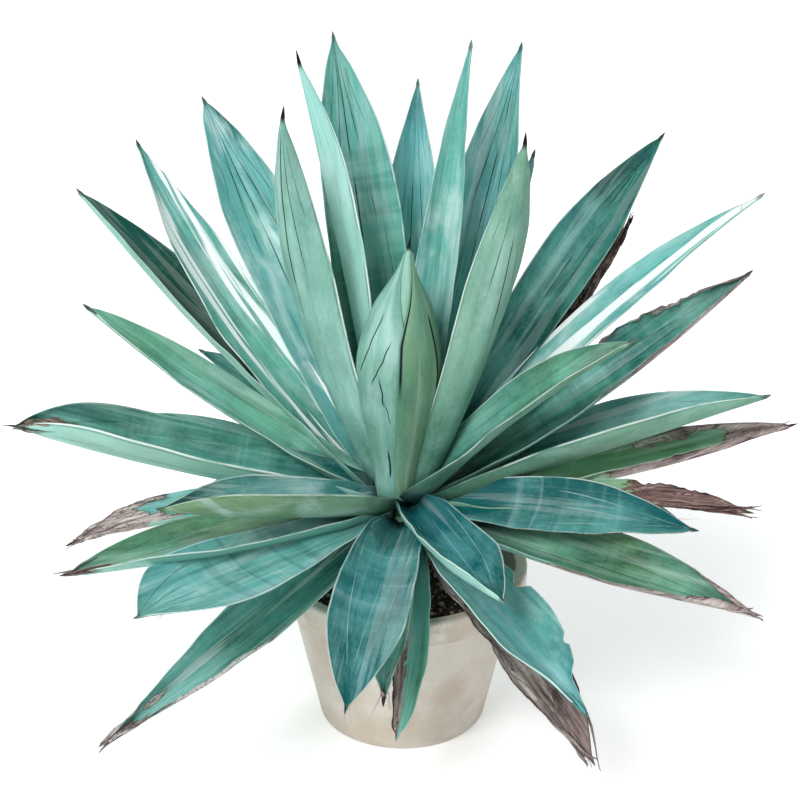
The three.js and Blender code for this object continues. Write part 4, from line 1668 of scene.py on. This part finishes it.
@dataclass(frozen=True)
class Stem:
    """The short stem that the leaves grow from, ringed by the scars of old ones.

    Its swollen heart is given as heights over the crown and the radius at each.
    """

    bark: bpy.types.Material
    pot: Pot
    radius: float = 33.0
    sunk: float = 68.0
    heart: tuple[tuple[float, float], ...] = ((-42.0, 52.0), (-25.0, 44.0), (-8.0, 26.0), (6.0, 16.0))
    scars_round: int = 9
    scar_height: float = 15.0

    def build(self) -> None:
        """Draw the stem with overlapping scar ridges, drawn in above where the leaf feet meet."""
        soil = self.pot.soil_level
        foot = soil - self.sunk
        profile = np.array([
            (foot, self.radius - 3.0),
            (soil, self.radius),
            (soil + 32.0, self.radius + 9.0),
            *((CROWN_HEIGHT + over, radius) for over, radius in self.heart),
        ])
        height = np.linspace(foot, profile[-1, 0], 120)[:, None]
        angle = full_turn(128)
        row = (height - foot) / self.scar_height + 0.0 * angle
        lean = angle * self.scars_round / (2.0 * math.pi) + 0.5 * np.floor(row)
        local = 2.0 * (lean % 1.0) - 1.0
        up = row % 1.0
        lip = smooth(0.25, 0.9, up) * smooth(1.0, 0.94, up) * (1.0 - 0.5 * local**2)
        rough = 0.7 * ripple(41, angle * 9.0, height * 0.25)
        shown = smooth(soil - 6.0, soil + 6.0, height)
        wide = np.interp(height, profile[:, 0], profile[:, 1]) + shown * (3.2 * lip + rough - 1.6)
        scar = smooth(0.5, 0.95, 1.0 - lip)
        fresh = smooth(CROWN_HEIGHT - 38.0, CROWN_HEIGHT - 18.0, height)
        grain = layers(angle * self.radius * MM, height * MM, 1.0)
        state = layers(scar, fresh, 0.0, 1.0)
        draft = Draft()
        draft.tube(round_about(wide, angle, height), grain=grain, state=state)
        settle(draft.build("stem_bark", self.bark), "stem", "stem")


@dataclass(frozen=True)
class Soil:
    """Gritty soil that fills the pot, with pebbles half sunk in it."""

    grit: bpy.types.Material
    pot: Pot
    stem: Stem
    pebbles: int = 1100
    small: tuple[float, float] = (1.0, 2.2)  # radii of the small pebbles and of the large ones
    large: tuple[float, float] = (2.2, 4.2)
    small_share: float = 0.75
    kinds: tuple[float, ...] = (0.1, 0.1, 0.3, 0.5, 0.7, 0.95)  # places on the grit's ramp of stones

    def level(self, radius: Array, angle: Array) -> Array:
        """The soil's height at a place.

        Args:
            radius: How far from the middle.
            angle: Radians round it.

        Returns:
            The height in mm.
        """
        edge = self.pot.inside(self.pot.soil_level - self.pot.soil_mound)
        share = np.clip((radius - self.stem.radius) / (edge - self.stem.radius), 0.0, 1.0)
        mound = self.pot.soil_level - self.pot.soil_mound * share**1.3
        x, y = radius * np.cos(angle), radius * np.sin(angle)
        return mound + 0.8 * ripple(51, x * 0.18, y * 0.18)

    def bed(self, draft: Draft) -> None:
        """Draw the soil itself, with the hole that the stem stands in.

        Args:
            draft: Takes it.
        """
        angle = full_turn(160)
        top = self.pot.soil_level - self.pot.soil_mound
        floor = self.pot.floor + GAP
        edge_low = self.pot.inside(floor) - GAP
        edge_high = self.pot.inside(top) - GAP
        hole = self.pot.soil_level - self.stem.sunk - GAP
        rings = []
        for share in np.linspace(0.0, 1.0, 6):
            radius = edge_low + (edge_high - edge_low) * share
            rings.append(round_about(radius, angle, floor + (top - 1.0 - floor) * share)[0])
        for radius in np.linspace(edge_high, self.stem.radius + 1.0, 46):
            rings.append(round_about(radius, angle, self.level(radius, angle))[0])
        rings.append(round_about(self.stem.radius - 3.0 + GAP, angle, hole)[0])
        shell = np.array(rings)
        draft.tube(shell, grain=shell * MM, state=[0.0, 0.0, 0.0, 1.0])

    def pebble(self, draft: Draft, draw: np.random.Generator) -> None:
        """Add a pebble.

        Args:
            draft: Takes it.
            draw: Random draws.
        """
        size = draw.uniform(*(self.small if draw.random() < self.small_share else self.large))
        angle = draw.uniform(0.0, 2.0 * math.pi)
        edge = self.pot.inside(self.pot.soil_level - self.pot.soil_mound) - size - 2.0
        radius = math.sqrt(draw.uniform((self.stem.radius + 4.0) ** 2, edge**2))
        height = float(self.level(np.array(radius), np.array(angle)))
        rows, around = 5, 7
        polar = np.linspace(0.18, 0.82, rows)[:, None] * math.pi
        lumps = 1.0 + 0.22 * draw.standard_normal((rows, around)).clip(-1.3, 1.3)
        stretch = draw.uniform(0.7, 1.3, 3) * [1.0, 1.0, 0.75]
        ball = round_about(np.sin(polar), full_turn(around) + draw.uniform(0.0, 1.0), -np.cos(polar))
        middle = round_about(radius, angle, height + 0.35 * size)
        rings = ball * lumps[..., None] * stretch * size + middle
        kind = draw.choice(self.kinds) + draw.uniform(-0.05, 0.05)
        apex = middle + UP * (size * stretch[2])
        draft.tube(rings, apex=apex, grain=rings * MM, state=[1.0, float(kind), 0.0, 1.0])

    def build(self) -> None:
        """Build the bed and its pebbles as one piece."""
        draft = Draft()
        self.bed(draft)
        draw = np.random.default_rng(61)
        for _ in range(self.pebbles):
            self.pebble(draft, draw)
        settle(draft.build("soil_grit", self.grit), "soil", "soil")


class Light(Enum):
    """Kinds of light, under Blender's names."""

    SUN = "SUN"  # even over all; its size is its width in degrees
    AREA = "AREA"  # a near square; its size is its side in metres


class Lamp(NamedTuple):
    """A soft light that points at the plant."""

    name: str
    kind: Light
    place: tuple[float, float, float]  # in metres
    size: float
    power: float


@dataclass(frozen=True)
class Studio:
    """Pale floor, soft lights and the camera at the photograph's angle."""

    elevation: float = 25.0
    distance: float = 2.400
    aim: tuple[float, float, float] = (-0.003, 0.0, 0.412)
    frame_pixels: float = 800.0
    focal_pixels: float = 2087.0
    sensor: float = 36.0
    floor_half: float = 30.0
    floor_paint: Colour = (0.88, 0.88, 0.88)
    floor_glow: float = 0.32
    sky: Colour = (0.95, 0.98, 1.0)
    sky_strength: float = 0.5
    lamps: tuple[Lamp, ...] = (
        Lamp("key", Light.SUN, (-1.4, -1.9, 3.0), 25.0, 2.3),
        Lamp("back", Light.AREA, (0.8, 2.3, 2.2), 1.6, 22.0),
    )

    def stand(self, name: str, data: Any, place: Sequence[float]) -> bpy.types.Object:
        """Place a camera or a light so that it points at the plant.

        Args:
            name: Its name.
            data: Its camera or light.
            place: Where it stands, in metres.

        Returns:
            Its object.
        """
        thing = placed(name, data)
        thing.location = place
        thing.rotation_euler = (Vector(self.aim) - Vector(place)).to_track_quat("-Z", "Y").to_euler()
        return thing

    def camera(self) -> None:
        """Place the camera."""
        data = bpy.data.cameras.new("camera")
        data.sensor_width = self.sensor
        data.lens = self.sensor * self.focal_pixels / self.frame_pixels
        data.clip_end = 120.0
        rise = math.radians(self.elevation)
        back = Vector((0.0, -math.cos(rise), math.sin(rise)))
        bpy.context.scene.camera = self.stand("camera", data, Vector(self.aim) + back * self.distance)

    def floor(self) -> None:
        """Lay the floor, which glows a little so that it is evenly pale."""
        half = self.floor_half
        mesh = bpy.data.meshes.new("floor")
        corners = [(-half, -half, 0.0), (half, -half, 0.0), (half, half, 0.0), (-half, half, 0.0)]
        mesh.from_pydata(corners, [], [(0, 1, 2, 3)])
        g = Graph("floor_paint")
        g.set(base_color=self.floor_paint, roughness=0.9, specular=0.1)
        g.set(emission_color=(1.0, 1.0, 1.0), emission_strength=self.floor_glow)
        mesh.materials.append(g.material)
        placed("floor", mesh)

    def hang(self, lamp: Lamp) -> None:
        """Hang a light.

        Args:
            lamp: Which light.
        """
        data = bpy.data.lights.new(lamp.name, lamp.kind.value)
        data.energy = lamp.power
        if lamp.kind is Light.SUN:
            data.angle = math.radians(lamp.size)
        else:
            data.size = lamp.size
        self.stand(lamp.name, data, lamp.place)

    def build(self) -> None:
        """Set the stage."""
        self.camera()
        self.floor()
        world = bpy.data.worlds.new("studio")
        world.use_nodes = True
        sky = world.node_tree.nodes["Background"]
        sky.inputs["Color"].default_value = (*self.sky, 1.0)
        sky.inputs["Strength"].default_value = self.sky_strength
        scene = bpy.context.scene
        scene.world = world
        for lamp in self.lamps:
            self.hang(lamp)
        scene.view_settings.view_transform = "Standard"
        scene.view_settings.look = "None"


def main() -> None:
    """Dress the plant and set its stage."""
    logging.basicConfig(level=logging.INFO, format="%(name)s: %(message)s")
    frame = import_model()
    slots = {entry["node"]: entry["material_slot"] for entry in frame["record"]["subparts"]}
    Studio().build()
    skin = LeafSkin().build("leaf_skin")
    Rosette(skin, slots).build()
    Bud(skin).build()
    pot = Pot(ClayFinish().build("pot_clay"))
    stem = Stem(BarkFinish().build("stem_bark"), pot)
    soil = Soil(GritFinish().build("soil_grit"), pot, stem)
    for piece in (stem, soil, pot):
        piece.build()


if __name__ == "__main__":
    main()
